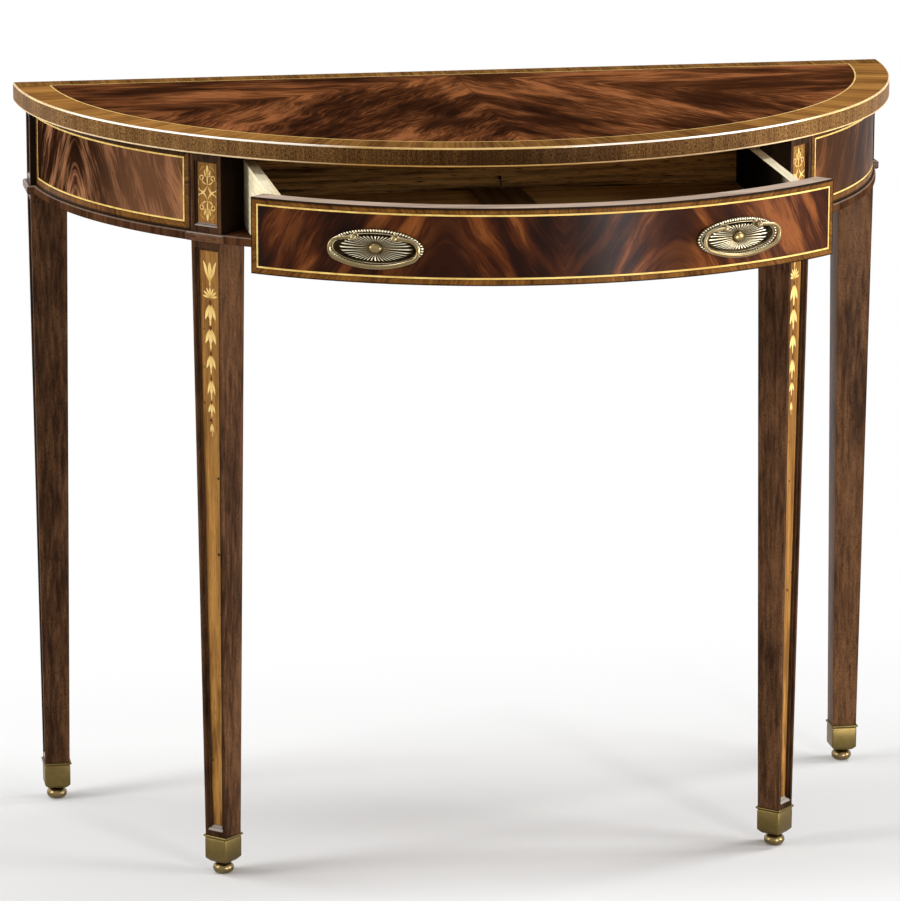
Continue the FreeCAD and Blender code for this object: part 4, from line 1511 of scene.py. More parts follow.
@dataclass
class Marquetry:
    """Leaves, scrolls and husks on a sunk panel, as thin lens-shaped slips.

    Attributes:
        stand: Frame of the leg.
        rise: Half the thickness of a slip.
        spans: Spans along a leaf.
        pale: Slips of pale wood.
        burnt: Slips of scorched wood.
    """

    stand: Stand
    rise: float = 0.00014
    spans: int = 14
    pale: Shell = field(default_factory=Shell)
    burnt: Shell = field(default_factory=Shell)

    def slip(self, spine: Points, width: Points, out: float, shade: Points | float,
             dark: bool = False) -> None:
        """Adds a slip: flat rings of eight points along a line, as wide as the width says.

        Args:
            spine: Points across and up, in millimetres.
            width: Half-width at each point, in millimetres.
            out: How far the panel's face lies before the leg's axis, for each point.
            shade: Tint along the slip.
            dark: Whether it is scorched.
        """
        angle = np.linspace(0.0, FULL_TURN, 9)
        flat = spine[:, None, :] + left_of(spine)[:, None, :] * (width[:, None] * np.cos(angle))[..., None]
        share = np.sqrt(np.clip(width / max(width.max(), 1e-9), 0.0, 1.0))
        thick = self.rise * share[:, None] * np.sin(angle)
        points = self.stand.at(flat[..., 0] * MM, out + thick, flat[..., 1] * MM)
        target = self.burnt if dark else self.pale
        tint = np.broadcast_to(np.asarray(shade, float).reshape(-1, 1), thick.shape)
        target.grid(points, flat * MM, tint)

    def leaf(self, base: tuple, bend: tuple, tip: tuple, width: float, out: float, swell: float = 0.8,
             dark: bool = False, shade: tuple[float, float] = (0.35, 1.0), mirror: bool = True) -> None:
        """Adds a pointed leaf along a bent line, and its mirror image.

        Args:
            base: Where it starts, across and up in millimetres.
            bend: Point that pulls the line.
            tip: Where it ends.
            width: Its full width.
            out: Face of the panel before the leg's axis.
            swell: Below 1 the leaf is widest near its base.
            dark: Whether it is scorched.
            shade: Tint at the base and at the tip.
            mirror: Whether a mirrored leaf is added.
        """
        run = np.linspace(0.0, 1.0, self.spans + 1)
        spine = bent(base, bend, tip, self.spans)
        half = width / 2 * np.sin(np.pi * run ** swell)
        half[[0, -1]] = 0.0
        tint = shade[0] + (shade[1] - shade[0]) * np.sin(run * np.pi / 2)
        for sign in (1.0, -1.0) if mirror else (1.0,):
            self.slip(spine * np.array([sign, 1.0]), half, out, tint, dark)

    def scroll(self, centre: tuple, radius: tuple, angle: tuple, width: float, out: float,
               flip: float) -> None:
        """Adds a volute, whose radius shrinks evenly with its angle, its ball and their mirror images.

        Args:
            centre: Middle of the volute in millimetres.
            radius: First and last radius.
            angle: First and last angle in degrees.
            width: Width of the line.
            out: Face of the panel before the leg's axis.
            flip: 1, or -1 to turn it upside down about the centre's height.
        """
        run = np.linspace(0.0, 1.0, 33)
        reach = radius[0] + (radius[1] - radius[0]) * run
        turn = np.radians(angle[0] + (angle[1] - angle[0]) * run)
        spine = np.stack([centre[0] + reach * np.cos(turn), centre[1] + flip * reach * np.sin(turn)], -1)
        half = width / 2 * np.sin(np.pi * np.clip(run * 0.94 + 0.03, 0, 1)) ** 0.35
        half[[0, -1]] = 0.0
        for sign in (1.0, -1.0):
            self.slip(spine * np.array([sign, 1.0]), half, out, 0.45 + 0.5 * run)
            self.ball((sign * spine[-1, 0], spine[-1, 1]), 0.75 * width, out)

    def ball(self, centre: tuple, radius: float, out: float, dark: bool = False) -> None:
        """Adds a round slip.

        Args:
            centre: Its middle in millimetres.
            radius: Its radius.
            out: Face of the panel before the leg's axis.
            dark: Whether it is scorched.
        """
        run = np.linspace(-1.0, 1.0, 13)
        spine = np.stack([np.full_like(run, centre[0]), centre[1] + radius * run], -1)
        half = radius * np.sqrt(np.clip(1 - run ** 2, 0, 1))
        self.slip(spine, half, out, 0.9, dark)


@dataclass(frozen=True)
class Sinking:
    """Sizes of a sunk, stepped panel, in metres.

    Attributes:
        rail: Width of its border.
        ledge: Width of its step.
        step: Depth of the step.
        depth: Depth of the inlay's face.
    """

    rail: float
    ledge: float
    step: float
    depth: float


@dataclass
class Leg:
    """One leg with its sunk panels, inlays, collar, sabot and foot.

    Attributes:
        name: Which leg.
        turn: Turn of its outward face, in radians.
        joinery: Shared sizes; not used.
        palette: Finishes.
        top_half: Half its width in the frieze.
        foot_half: Half its width at the sabot.
        shaft: Panel of the tapered length.
        block: Panel of the block.
        arris: Radius of the worn corners.
        slope: How far a wall of a panel leans.
        foot_slope: How far the wall at a panel's foot leans, as a share of its depth.
        bed: How far the floor of a panel lies behind its inlay's face.
        shoulder_edge: Height over which the painted shade of the block starts.
        sabot_corner: Radius of the sabot's corners.
    """

    name: str
    turn: float
    joinery: Joinery
    palette: Palette
    top_half: float = 0.0189
    foot_half: float = 0.0129
    shaft: Sinking = Sinking(0.0038, 0.0026, 0.0025, 0.005)
    block: Sinking = Sinking(0.005, 0.0018, 0.0014, 0.0028)
    arris: float = 0.0009
    slope: float = 0.00035
    foot_slope: float = 0.9
    bed: float = 0.0006
    shoulder_edge: float = 0.0004
    sabot_corner: float = 0.0016

    def __post_init__(self) -> None:
        """Finds where the leg stands."""
        low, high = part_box(f"{self.name}_leg")
        self.low, self.high = low.z, high.z
        self.stand = Stand(((low.x + high.x) / 2, (low.y + high.y) / 2, 0.0), self.turn)
        self.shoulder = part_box(f"{self.name}_collar")[0].z
        self.sabot_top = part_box(f"{self.name}_sabot")[1].z

    def half(self, height: Points) -> Points:
        """Half the leg's width: straight in the frieze and evenly tapered below."""
        share = np.clip((height - self.sabot_top) / (self.shoulder - self.sabot_top), 0.0, 1.0)
        return self.foot_half + (self.top_half - self.foot_half) * share

    def rows(self) -> Points:
        """Heights with the depths of the outer and inner sinking and the widths of their border and step.

        Returns:
            Rows of height, outer depth, inner depth, border and step.
        """
        rows = [(self.low, 0.0, 0.0, self.shaft.rail, self.shaft.ledge)]
        for part, sink in (("leg", self.shaft), ("block", self.block)):
            low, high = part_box(f"{self.name}_{part}_inlay")
            start, end = low.z - sink.ledge, high.z + sink.ledge
            floor = sink.depth + self.bed
            outer, inner = self.foot_slope * sink.step, self.foot_slope * (sink.depth - sink.step)
            marks = [
                (start - outer, 0.0, 0.0), (start, sink.step, sink.step),
                (low.z - inner, sink.step, sink.step), (low.z, sink.step, floor),
                (high.z, sink.step, floor), (high.z + self.slope, sink.step, sink.step),
                (end, sink.step, sink.step), (end + self.slope, 0.0, 0.0)]
            if part == "leg":
                marks += [(self.shoulder - self.shoulder_edge, 0.0, 0.0), (self.shoulder, 0.0, 0.0)]
            rows += [(*mark, sink.rail, sink.ledge) for mark in marks]
        rows.append((self.high, 0.0, 0.0, self.block.rail, self.block.ledge))
        return np.array(rows)

    def body(self) -> Shell:
        """Lofts the leg: a square section with round corners and a stepped front, carried up the rows.

        Returns:
            The leg's mesh.
        """
        height, outer, inner, rail, ledge = self.rows().T[..., None]
        half = self.half(height)
        first, second = half - rail, half - rail - ledge
        across = np.hstack([-first - self.slope, -first, -second - self.slope, -second,
                            second, second + self.slope, first, first + self.slope])
        depth = np.hstack([0 * outer, outer, outer, inner, inner, outer, outer, 0 * outer])
        x, out = round_square(half, self.arris, 4)
        x, out = closed(np.hstack([across, x])), closed(np.hstack([half - depth, out]))
        # Painted shade: the block's face towards the opening (the front face on back legs), and half as much
        # on the outward face.
        inward = -math.copysign(1.0, self.turn)
        painted_leg_shade = np.clip((inward * x - half + self.arris) / self.arris, 0.0, 1.0) * (height >= self.shoulder)
        painted_leg_shade[:, [*range(8), -1]] = 0.5
        shell = Shell()
        shell.grid(self.stand.at(x, out, height), shade=painted_leg_shade)
        columns = x.shape[1]
        shell.cap(0, columns - 1)
        shell.cap((len(height) - 1) * columns, columns - 1)
        return shell

    def sabot(self) -> Shell:
        """Lofts the sabot: a square with round corners carried up a rim, a groove, a body and a chamfer.

        Returns:
            The sabot's mesh.
        """
        low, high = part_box(f"{self.name}_sabot")
        top, bottom = high.z, low.z
        rim = arc((0.0137, top - 0.0019), 0.0011, -70, 100, 8)
        foot = [[0.0, bottom], [0.0098, bottom], [0.013, bottom + 0.0032], [0.0134, bottom + 0.0042]]
        groove = [[0.0135, top - 0.0056], [0.0131, top - 0.0042], [0.0133, top - 0.0036]]
        lid = [[0.0128, top - 0.0006], [0.0, top - 0.0006]]
        profile = np.concatenate([foot, groove, rim, lid])
        reach, height = profile[:, :1], profile[:, 1:]
        x, out = round_square(reach, np.minimum(self.sabot_corner, reach), 6)
        shell = Shell()
        shell.grid(self.stand.at(closed(x), closed(out), height), shade=0.3)
        return shell

    def block_marquetry(self, work: Marquetry) -> None:
        """Lays the arabesque, above and below: crossed blades, stems, ringed volutes and trefoils.

        Args:
            work: The marquetry to add to.
        """
        middle = middle_height(f"{self.name}_block_inlay") / MM
        out = self.top_half - self.block.depth
        proud = out + 0.00006
        for up in (1.0, -1.0):
            def spot(across: float, rise: float) -> tuple[float, float]:
                """Places a point above or below the middle, in millimetres."""
                return (across, middle + up * rise)
            work.leaf(spot(0, 8.2), spot(3.0, -0.9), spot(10.4, -2.2), 1.9, out, 1.0)
            work.leaf(spot(8.0, -1.4), spot(10.0, -1.8), spot(11.2, -4.4), 1.1, out, 1.0)
            work.leaf(spot(0, 6.6), spot(0, 12.0), spot(0, 19.0), 1.5, out, 1.0, mirror=False)
            work.leaf(spot(0.2, 8.6), spot(4.4, 8.2), spot(7.0, 12.6), 1.3, out, 0.9)
            work.scroll(spot(6.8, 14.8), (2.7, 1.7), (-100, 240), 1.2, out, up)
            work.ball(spot(6.8, 14.8), 0.8, out, dark=True)
            work.ball(spot(-6.8, 14.8), 0.8, out, dark=True)
            work.leaf(spot(0.5, 15.0), spot(2.4, 17.4), spot(5.0, 17.4), 1.0, out, 0.9)
            work.leaf(spot(0, 17.6), spot(0, 23.0), spot(0, 28.4), 3.2, out, 0.85, mirror=False)
            work.leaf(spot(0.4, 18.0), spot(4.0, 18.0), spot(3.3, 23.2), 2.0, out, 0.9)
            work.leaf(spot(0, 18.6), spot(0, 20.6), spot(0, 22.6), 0.7, proud, dark=True, mirror=False)
            work.leaf(spot(10.2, 5.0), spot(12.0, 9.6), spot(10.0, 13.4), 0.8, out, 1.0, shade=(0.1, 0.4))
            work.leaf(spot(1.2, 26.4), spot(6.8, 26.6), spot(9.8, 20.0), 0.8, out, 1.0, shade=(0.1, 0.4))

    def leg_marquetry(self, work: Marquetry) -> None:
        """Lays the lotus, the palmette and the falling husks, each smaller than the one above.

        Args:
            work: The marquetry to add to.
        """
        def face(height: float) -> float:
            """Finds how far the inlay's face lies before the leg's axis."""
            return float(self.half(np.array(height * MM))) - self.shaft.depth

        def leaf(*spots: tuple, width: float, **options: object) -> None:
            """Adds a leaf on the leaning face, from its base, bend and tip."""
            work.leaf(*spots, width, face((spots[0][1] + spots[2][1]) / 2), **options)

        leaf((0.4, 611), (2.6, 622), (9.8, 636.5), width=3.4, swell=1.1)
        leaf((0.2, 613), (5.0, 620), (7.4, 629.0), width=1.8, swell=1.0)
        leaf((0, 612), (0, 622), (0, 634.5), width=4.6, swell=1.2, mirror=False)
        leaf((1.6, 616), (2.6, 624), (5.0, 631), width=0.8, dark=True)
        leaf((0, 606), (0, 610), (0, 616), width=1.6, mirror=False)
        heart = 595.6
        for tilt, reach in ((0, 11.5), (24, 11.5), (50, 10.6), (76, 9.6)):
            side, rise = reach * math.sin(math.radians(tilt)), reach * math.cos(math.radians(tilt))
            leaf((0.2 * side / reach, heart), (0.45 * side, heart + 0.6 * rise), (side, heart + rise),
                 width=2.2, swell=1.3, mirror=tilt > 0)
        for width, top, bottom in ((13, 593, 568), (13, 568, 544), (11, 541, 519.5), (9.6, 516, 493),
                                   (8.4, 491, 476), (4.6, 471, 456)):
            deep = top - bottom
            leaf((0, top - 0.08 * deep), (0.2 * width, top - 0.36 * deep), (width / 2, top - 0.78 * deep),
                 width=0.34 * width, swell=1.1)
            leaf((0, top - 0.1 * deep), (0, top - 0.4 * deep), (0, top - 0.86 * deep),
                 width=0.42 * width, swell=1.1, mirror=False)
            leaf((0, top - 0.7 * deep), (0, top - 0.85 * deep), (0, bottom - 1.5),
                 width=0.2 * width, mirror=False)
            leaf((0.1 * width, top - 0.42 * deep), (0.16 * width, top - 0.52 * deep),
                 (0.27 * width, top - 0.68 * deep), width=0.06 * width, dark=True)
            leaf((0, top + 1.5), (0, top - 1.0), (0, top - 0.24 * deep),
                 width=0.24 * width, swell=1.2, dark=True, mirror=False)

    def build(self) -> None:
        """Builds the leg's meshes and dresses its collar and inlays."""
        self.palette.leg.cover(self.body().build(f"{self.name}_post"), "table", f"{self.name}_leg")
        self.palette.dull_brass.cover(self.sabot().build(f"{self.name}_shoe"), "table", f"{self.name}_sabot")
        self.palette.collar.dress(f"{self.name}_collar")
        self.palette.inlay.dress(f"{self.name}_block_inlay", f"{self.name}_leg_inlay")
        work = Marquetry(self.stand)
        self.block_marquetry(work)
        self.leg_marquetry(work)
        self.palette.motif.cover(work.pale.build(f"{self.name}_marquetry"), "table")
        self.palette.scorch.cover(work.burnt.build(f"{self.name}_scorching"), "table")

    def foot(self, shell: Shell) -> None:
        """Turns the bun foot: a flattened ball on a short neck.

        Args:
            shell: The mesh of all the feet.
        """
        ball = arc((0.0, 0.0), 1.0, -90, 90, 20) * np.array([0.0062, 0.0057]) + np.array([0.0045, 0.0057])
        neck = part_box(f"{self.name}_sabot")[0].z + 0.001
        profile = np.concatenate([[[0.0, 0.0]], ball, [[0.0045, neck], [0.0, neck]]])
        lathe(shell, profile, self.stand, True, 0.42)


@dataclass
class Drawer:
    """The drawer with its bowed front.

    Attributes:
        joinery: Shared sizes.
        palette: Finishes.
        pin_across: Where the loose pin leans on the drawer back.
        pin_length: Its length.
        pin_before: How far before the drawer back its point stands.
        pin_above: How far above the muntin its point stands.
        pin_lean: Direction from its point to its head.
        band_width: Width of the front's crossband.
        rim: Share of that width that is dark along the outer edge.
    """

    joinery: Joinery
    palette: Palette
    pin_across: float = 0.0055
    pin_length: float = 0.0145
    pin_before: float = 0.011
    pin_above: float = 0.0006
    pin_lean: tuple[float, float, float] = (-0.0008, 0.0095, 0.0104)
    band_width: float = 0.006
    rim: float = 0.25

    def pin(self) -> Shell:
        """Turns the pin: rings on a line that leans from the muntin to the back, thick at the head.

        Returns:
            The pin's mesh.
        """
        back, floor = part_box("drawer_back")[0].y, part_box("drawer_muntin")[1].z
        foot = Vector((self.pin_across, back - self.pin_before, floor + self.pin_above))
        line = Vector(self.pin_lean).normalized()
        side = line.cross(Vector((1.0, 0.0, 0.0))).normalized()
        radius = np.array([0.0, 0.5, 0.7, 0.8, 1.5, 1.6, 0.0])[:, None] * MM
        place = np.array([0.0, 0.0, 0.04, 0.8, 0.82, 1.0, 1.0])[:, None, None] * self.pin_length
        angle = np.linspace(0.0, FULL_TURN, 17)
        ring = np.cos(angle)[:, None] * np.array(side) + np.sin(angle)[:, None] * np.array(line.cross(side))
        tint = np.array([1.0, 1.0, 0.9, 0.3, 0.1, 0.1, 0.1])[:, None]
        points = np.array(foot) + place * np.array(line) + radius[..., None] * ring
        shell = Shell()
        shell.grid(points, shade=np.tile(tint, (1, len(angle))))
        return shell

    def build(self) -> None:
        """Lays the front's veneers, dresses the box and adds the pin."""
        RoundPanel("drawer_front", "drawer", self.joinery, self.palette, self.palette.drawer_field,
                   self.band_width, self.rim).build()
        self.palette.drawer_edge.dress("drawer_front")
        self.palette.oak.dress("drawer_left_side", "drawer_right_side")
        self.palette.drawer_back.dress("drawer_back")
        self.palette.muntin.dress("drawer_muntin")
        self.palette.iron.cover(self.pin().build("loose_pin"), "drawer")
        self.palette.drawer_bottom.dress("drawer_left_bottom", "drawer_right_bottom")


@dataclass
class Handle:
    """A brass handle: an oval plate, two posts and a swinging bail.

    Attributes:
        side: Left or right.
        turn: Turn of the handle on the drawer front, in radians.
        wall: The drawer's face.
        joinery: Shared sizes.
        palette: Finishes.
        half_width: Half the plate's width.
        half_height: Half the plate's height.
        boss: Half-width and half-height of the domed boss.
        burst: Half-width and half-height of the sunburst.
        flutes: Number of its flutes.
        beads: Number of beads round the rim.
        post_across: Distance of the posts from the middle.
        post_up: Height of the posts over the middle.
        stand_off: Distance of the bail's bar from the drawer's face.
        tip_across: Centre of the bail's round tips.
        tip_radius: Radius of the tips.
        drop: How far the bail hangs below the middle.
        elbow: Where the bail leaves its pin.
        hook: How far the bend at the elbow reaches.
        pin_end: How far inside a post's middle the bail's pin ends.
        thick: Half the bail's thickness in the middle.
        taper: How much thinner its half-thickness is at the ends.
        rim_ring: Inset, rise and shade of the plain ring inside the beads.
        crease: Angle in degrees from which an edge of the brass stays sharp.
    """

    side: str
    turn: float
    wall: RoundWall
    joinery: Joinery
    palette: Palette
    half_width: float = 0.046
    half_height: float = 0.0185
    boss: tuple[float, float] = (0.0068, 0.0054)
    burst: tuple[float, float] = (0.0355, 0.0123)
    flutes: int = 40
    beads: int = 72
    post_across: float = 0.0195
    post_up: float = 0.011
    stand_off: float = 0.0085
    tip_across: float = 0.033
    tip_radius: float = 0.01
    drop: float = 0.0165
    elbow: float = 0.0251
    hook: float = 0.0022
    pin_end: float = 0.0033
    thick: float = 0.0021
    taper: float = 0.0004
    rim_ring: tuple[tuple[float, float, float], ...] = (
        (0.0056, 0.0009, 0.03), (0.0050, 0.0011, 0.1), (0.0047, 0.0020, 0.5),
        (0.0043, 0.0024, 0.75), (0.0038, 0.0021, 0.55), (0.0035, 0.0013, 0.1))
    crease: float = 50.0

    def __post_init__(self) -> None:
        """Finds the handle's place on the drawer front."""
        self.height = middle_height(f"{self.side}_handle_plate")
        across, out = self.wall.radius * math.sin(self.turn), self.wall.radius * math.cos(self.turn)
        centre = (across, self.wall.centre_y - out, self.height)
        self.stand = Stand(centre, self.turn)

    def share_round(self, angle: Points, width: float, height: float) -> Points:
        """Share of an oval's girth up to each angle, from its summed chords.

        Args:
            angle: Angles that go once round.
            width: Half-width of the oval.
            height: Half-height.

        Returns:
            Shares from 0 to 1.
        """
        outline = np.stack([width * np.cos(angle), height * np.sin(angle)], -1)
        run = girth(outline)
        return run / run[-1]

    def plate(self) -> Shell:
        """Forms the plate: ovals from the boss outwards, raised by a dome, flutes, a ring and beads.

        Returns:
            The plate's mesh.
        """
        angle = np.linspace(0.0, FULL_TURN, 721)
        flute = np.abs(np.cos(np.pi * self.flutes * self.share_round(angle, *self.burst)))
        bead = np.abs(np.sin(np.pi * self.beads * self.share_round(angle, self.half_width, self.half_height)))
        even = np.zeros_like(angle)
        rings: list[tuple] = []
        boss_wide, boss_tall = self.boss
        for share in np.linspace(0.0, 1.0, 9):
            rise = 0.0016 + 0.0034 * math.sqrt(max(0.0, 1.0 - share ** 2))
            rings.append((boss_wide * share, boss_tall * share, rise + even, 0.5 - 0.45 * share ** 6 + even))
        wide, tall = self.burst
        for share in np.linspace(0.04, 1.0, 26):
            end = np.sqrt(np.clip((0.92 + 0.08 * flute - share) / 0.12, 0.0, 1.0))
            ridge = np.clip((flute - 0.4) / 0.5, 0.0, 1.0)
            bow = 0.0005 * math.sin(math.pi * share)
            rise = 0.0007 + end * (0.0005 + (0.0004 + 0.0013 * share) * ridge + bow)
            rings.append((boss_wide + (wide - boss_wide) * share, boss_tall + (tall - boss_tall) * share,
                          rise, np.clip(end * ridge * (0.5 + 0.5 * share), 0.0, 1.0)))
        for inset, rise, shade in self.rim_ring:
            rings.append((self.half_width - inset, self.half_height - inset, rise + even, shade + even))
        ball = np.sqrt(np.clip(bead, 0.0, 1.0))
        for inset in np.linspace(0.0031, 0.0003, 9):
            swell = math.sqrt(max(0.0, 1.0 - ((inset - 0.0017) / 0.0015) ** 2))
            rise = 0.0011 + 0.0015 * swell * (0.25 + 0.75 * ball)
            shade = 1.05 * swell * np.clip((bead - 0.35) / 0.5, 0.0, 1.0)
            rings.append((self.half_width - inset, self.half_height - inset, rise, shade))
        gap = self.joinery.glue_line
        rings.append((self.half_width, self.half_height, 0.0006 + even, 0.2 + even))
        rings.append((self.half_width, self.half_height, gap + even, 0.1 + even))
        rings.append((0.0, 0.0, gap + even, 0.1 + even))
        across = np.array([ring[0] for ring in rings])[:, None] * np.cos(angle)
        up = np.array([ring[1] for ring in rings])[:, None] * np.sin(angle)
        rise, shade = np.stack([ring[2] for ring in rings]), np.stack([ring[3] for ring in rings])
        along = self.wall.radius * self.turn
        shell = Shell()
        shell.grid(self.wall.at(along + across, self.height + up, rise), np.stack([across, up], -1), shade)
        return shell

    def posts(self, shell: Shell) -> None:
        """Turns the two posts: a flange, a waist and an eye with a rounded end.

        Args:
            shell: The mesh of all the posts.
        """
        eye = arc((0.0, self.stand_off), 0.0035, -50, 90, 12)
        eye[-1, 0] = 0.0
        flange = [[0.0, 0.0008], [0.0034, 0.0008], [0.0034, 0.002]]
        waist = [[0.0026, 0.0028], [0.002, 0.0042]]
        profile = np.concatenate([flange, waist, eye])
        for side in (-1.0, 1.0):
            x, y, z = self.stand.at(np.array(side * self.post_across), 0.0, self.post_up)
            spot = Stand((float(x), float(y), float(z)), self.turn)
            lathe(shell, profile, spot, False, 0.55)

    def bail(self) -> Shell:
        """Bends the bail: pins, round tips and a flat sweep as arcs, with a round section that swells below
        and a painted highlight along its edges.

        Returns:
            The bail's mesh.
        """
        tip, radius, up = self.tip_across, self.tip_radius, self.post_up
        sweep = (tip ** 2 + self.drop ** 2 - radius ** 2) / (2 * (self.drop - radius))
        slant = math.degrees(math.atan2(-(sweep - self.drop), tip))
        gap = math.hypot(self.elbow - tip, up)
        meet = math.degrees(math.atan2(up, self.elbow - tip) - math.acos(radius / gap))
        half = np.concatenate([
            arc((0.0, sweep - self.drop), sweep, -90, slant, 40)[:-1],
            arc((tip, 0.0), radius, slant, meet, 36),
        ])
        foot = np.array([self.elbow - self.hook, up])
        elbow = np.array([self.elbow, up])
        start = half[-1] + (elbow - half[-1]) * 0.6
        pin = np.array([[self.post_across - self.pin_end, up]])
        right = np.concatenate([half, bent(start, elbow, foot, 8), pin])
        path = np.concatenate([right[::-1] * np.array([-1.0, 1.0]), right[1:]])
        share = np.linspace(-1.0, 1.0, len(path))
        thick = self.thick - self.taper * np.abs(share) ** 2
        thick[[0, -1]] = 0.0
        path = np.concatenate([path[:1], path[:1], path[1:-1], path[-1:], path[-1:]])
        thick = np.concatenate([[0.0], thick[1:2], thick[1:-1], thick[-2:-1], [0.0]])
        side = left_of(path)
        angle = np.linspace(0.0, FULL_TURN, 19)
        flat = path[:, None, :] + side[:, None, :] * (thick[:, None] * np.cos(angle))[..., None]
        out = self.stand_off + thick[:, None] * np.sin(angle)
        shell = Shell()
        # Painted highlight: the section is lighter at its inner and outer edges than at its front.
        shell.grid(self.stand.at(flat[..., 0], out, flat[..., 1]), flat, 0.42 + 0.56 * np.cos(angle) ** 4)
        return shell

    def build(self, posts: Shell) -> None:
        """Builds the plate and the bail.

        Args:
            posts: The mesh of all the posts, which are added to it.
        """
        brass = self.palette.brass
        plate = self.plate().build(f"{self.side}_sunburst_plate", self.crease)
        brass.cover(plate, "drawer", f"{self.side}_handle_plate")
        bail = self.bail().build(f"{self.side}_swing_handle", self.crease)
        brass.cover(bail, f"{self.side}_bail", f"{self.side}_bail")
        self.posts(posts)


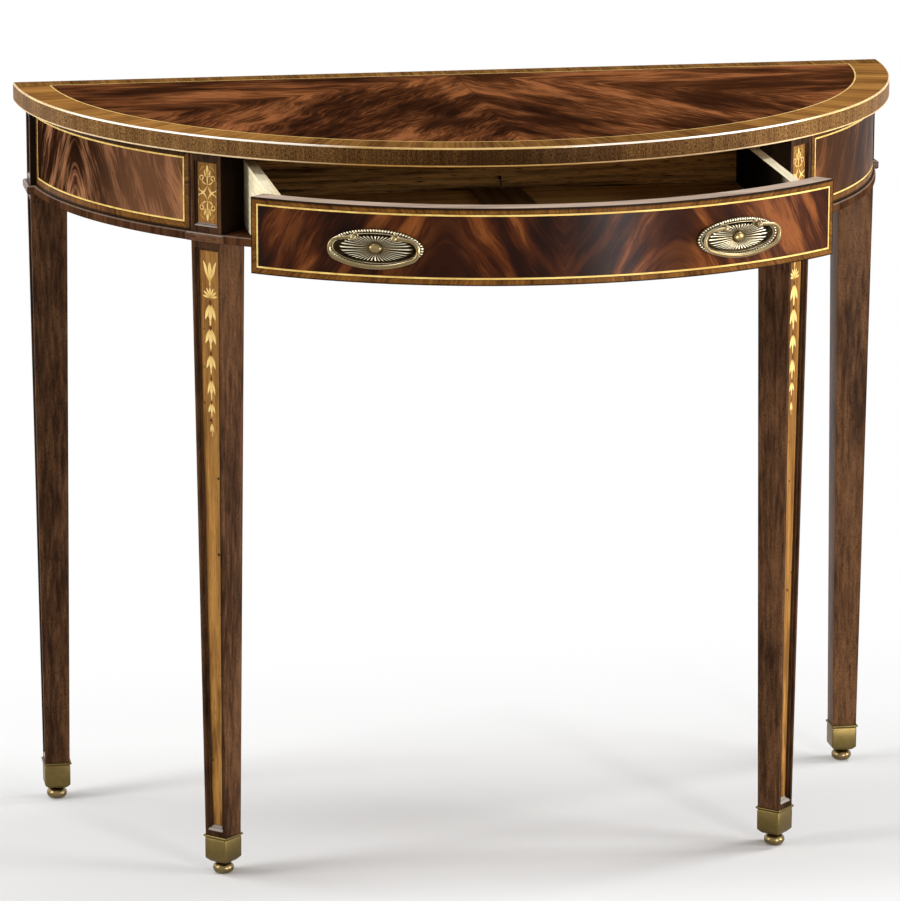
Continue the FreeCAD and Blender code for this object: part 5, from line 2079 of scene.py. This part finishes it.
@dataclass
class Studio:
    """The camera, the lights, the floor and the pale surround.

    Attributes:
        place: Where the camera stands.
        yaw: Its turn to the right, in radians.
        pitch: How far it looks down.
        roll: How far it leans.
        lens: Focal length in millimetres on a 36 mm sensor.
    """

    place: tuple[float, float, float] = (-0.94109, -5.16343, 1.68236)
    yaw: float = 0.17009
    pitch: float = 0.2345
    roll: float = 0.00117
    lens: float = 215.374

    def camera(self) -> None:
        """Sets up the camera from its fitted place and turn."""
        sight = Vector((math.sin(self.yaw) * math.cos(self.pitch), math.cos(self.yaw) * math.cos(self.pitch),
                        -math.sin(self.pitch)))
        level = Vector((math.cos(self.yaw), -math.sin(self.yaw), 0.0))
        above = level.cross(sight)
        right = math.cos(self.roll) * level + math.sin(self.roll) * above
        up = -math.sin(self.roll) * level + math.cos(self.roll) * above
        lens = bpy.data.cameras.new("camera")
        lens.lens, lens.sensor_width, lens.sensor_fit = self.lens, 36.0, "HORIZONTAL"
        lens.clip_start, lens.clip_end = 0.1, 100.0
        eye = bpy.data.objects.new("camera", lens)
        turn = Matrix((right, up, -sight)).transposed()
        eye.matrix_world = Matrix.Translation(self.place) @ turn.to_4x4()
        bpy.context.scene.collection.objects.link(eye)
        bpy.context.scene.camera = eye

    def light(self, name: str, place: tuple, target: tuple, size: tuple[float, float], power: float) -> None:
        """Adds a soft rectangular light.

        Args:
            name: Its name.
            place: Where it hangs.
            target: Where it points.
            size: Its width and height in metres.
            power: Its power in watts.
        """
        lamp = bpy.data.lights.new(name, "AREA")
        lamp.shape, lamp.size, lamp.size_y, lamp.energy = "RECTANGLE", size[0], size[1], power
        thing = bpy.data.objects.new(name, lamp)
        aim = (Vector(target) - Vector(place)).to_track_quat("-Z", "Y")
        thing.matrix_world = Matrix.Translation(place) @ aim.to_matrix().to_4x4()
        thing.visible_camera = False
        bpy.context.scene.collection.objects.link(thing)

    def seen(self, paint: Paint) -> bpy.types.NodeSocket:
        """Finds the rays that look at the surround: from the eye, through glass or off a shiny face.

        Args:
            paint: Helper of the tree.

        Returns:
            1 for such a ray.
        """
        path = paint.node("ShaderNodeLightPath").outputs
        direct = paint.math("MAXIMUM", path["Is Camera Ray"], path["Is Transmission Ray"])
        return paint.math("MAXIMUM", direct, path["Is Glossy Ray"])

    def floor(self) -> None:
        """Lays a pale floor that fades to white behind the table and towards the viewer."""
        shell = Shell()
        line = np.linspace(-6.0, 6.0, 3)
        across, back = np.meshgrid(line, line)
        shell.grid(np.stack([across, back + 3.0, 0 * across], -1), np.stack([across, back], -1))
        floor = shell.build("studio_floor")
        made = bpy.data.materials.new("studio_floor")
        made.use_nodes = True
        paint = Paint(made.node_tree)
        shader = made.node_tree.nodes["Principled BSDF"]
        shader.inputs["Base Color"].default_value = (0.82, 0.82, 0.82, 1.0)
        shader.inputs["Roughness"].default_value = 0.9
        shader.inputs["Specular IOR Level"].default_value = 0.0
        white = paint.node("ShaderNodeEmission")
        _, back, _ = object_place(paint)
        near = paint.math("SUBTRACT", 1.0, paint.span(back, -0.28, -0.04))
        ends = paint.math("MAXIMUM", paint.span(back, 0.15, 0.85), near)
        share = paint.math("MULTIPLY", ends, self.seen(paint))
        mixed = paint.node("ShaderNodeMixShader", share, shader.outputs[0], white.outputs[0])
        paint.feed(made.node_tree.nodes["Material Output"].inputs["Surface"], mixed.outputs[0])
        floor.data.materials.append(made)

    def surround(self) -> None:
        """Makes the surround white to the eye and soft grey as light."""
        world = bpy.data.worlds.new("studio")
        world.use_nodes = True
        bpy.context.scene.world = world
        paint = Paint(world.node_tree)
        sky = world.node_tree.nodes["Background"]
        paint.feed(sky.inputs["Color"], (1.0, 1.0, 1.0, 1.0))
        paint.feed(sky.inputs["Strength"], paint.math("MULTIPLY_ADD", self.seen(paint), 0.66, 0.34))

    def build(self) -> None:
        """Sets up the whole studio."""
        self.camera()
        self.surround()
        self.floor()
        self.light("right_softbox", (4.7, -1.9, 1.2), (0.0, 0.0, 0.55), (1.6, 2.4), 158.0)
        self.light("front_softbox", (1.2, -2.75, 0.4), (0.0, 0.0, 0.6), (0.32, 0.8), 52.0)
        self.light("left_softbox", (-2.4, -0.3, 1.1), (-0.2, 0.0, 0.6), (0.7, 1.1), 28.0)
        self.light("rear_left_softbox", (-1.7, 1.5, 0.9), (-0.3, 0.2, 0.6), (0.8, 1.4), 5.0)
        self.light("left_top_light", (-1.4, 0.35, 2.6), (-0.3, 0.0, 0.7), (0.9, 0.8), 21.0)
        self.light("right_top_light", (1.75, 0.3, 2.6), (0.3, 0.0, 0.7), (0.8, 0.8), 34.0)
        bpy.context.scene.view_settings.view_transform = "Standard"


def main() -> None:
    """Builds the table's looks over the CAD frame."""
    logging.basicConfig(level=logging.INFO, format="%(name)s: %(message)s")
    joinery = Joinery()
    palette = Palette(joinery)
    Top(joinery, palette).build()
    Apron(joinery, palette).build()
    feet = Shell()
    for name, turn in (("front_left", -45), ("front_right", 45), ("back_left", -90), ("back_right", 90)):
        leg = Leg(name, math.radians(turn), joinery, palette)
        leg.build()
        leg.foot(feet)
    palette.brass.cover(feet.build("turned_feet"), "table", "bun_feet")
    Drawer(joinery, palette).build()
    front = RoundWall(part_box("drawer_front_veneer")[0].y + joinery.frieze_radius, joinery.frieze_radius)
    posts = Shell()
    for side, turn in (("left", -23.1), ("right", 23.1)):
        Handle(side, math.radians(turn), front, joinery, palette).build(posts)
    palette.brass.cover(posts.build("turned_posts"), "drawer", "handle_posts")
    palette.dull_brass.dress("handle_nuts")
    Studio().build()
    LOG.info("table dressed")


if __name__ == "__main__":
    main()
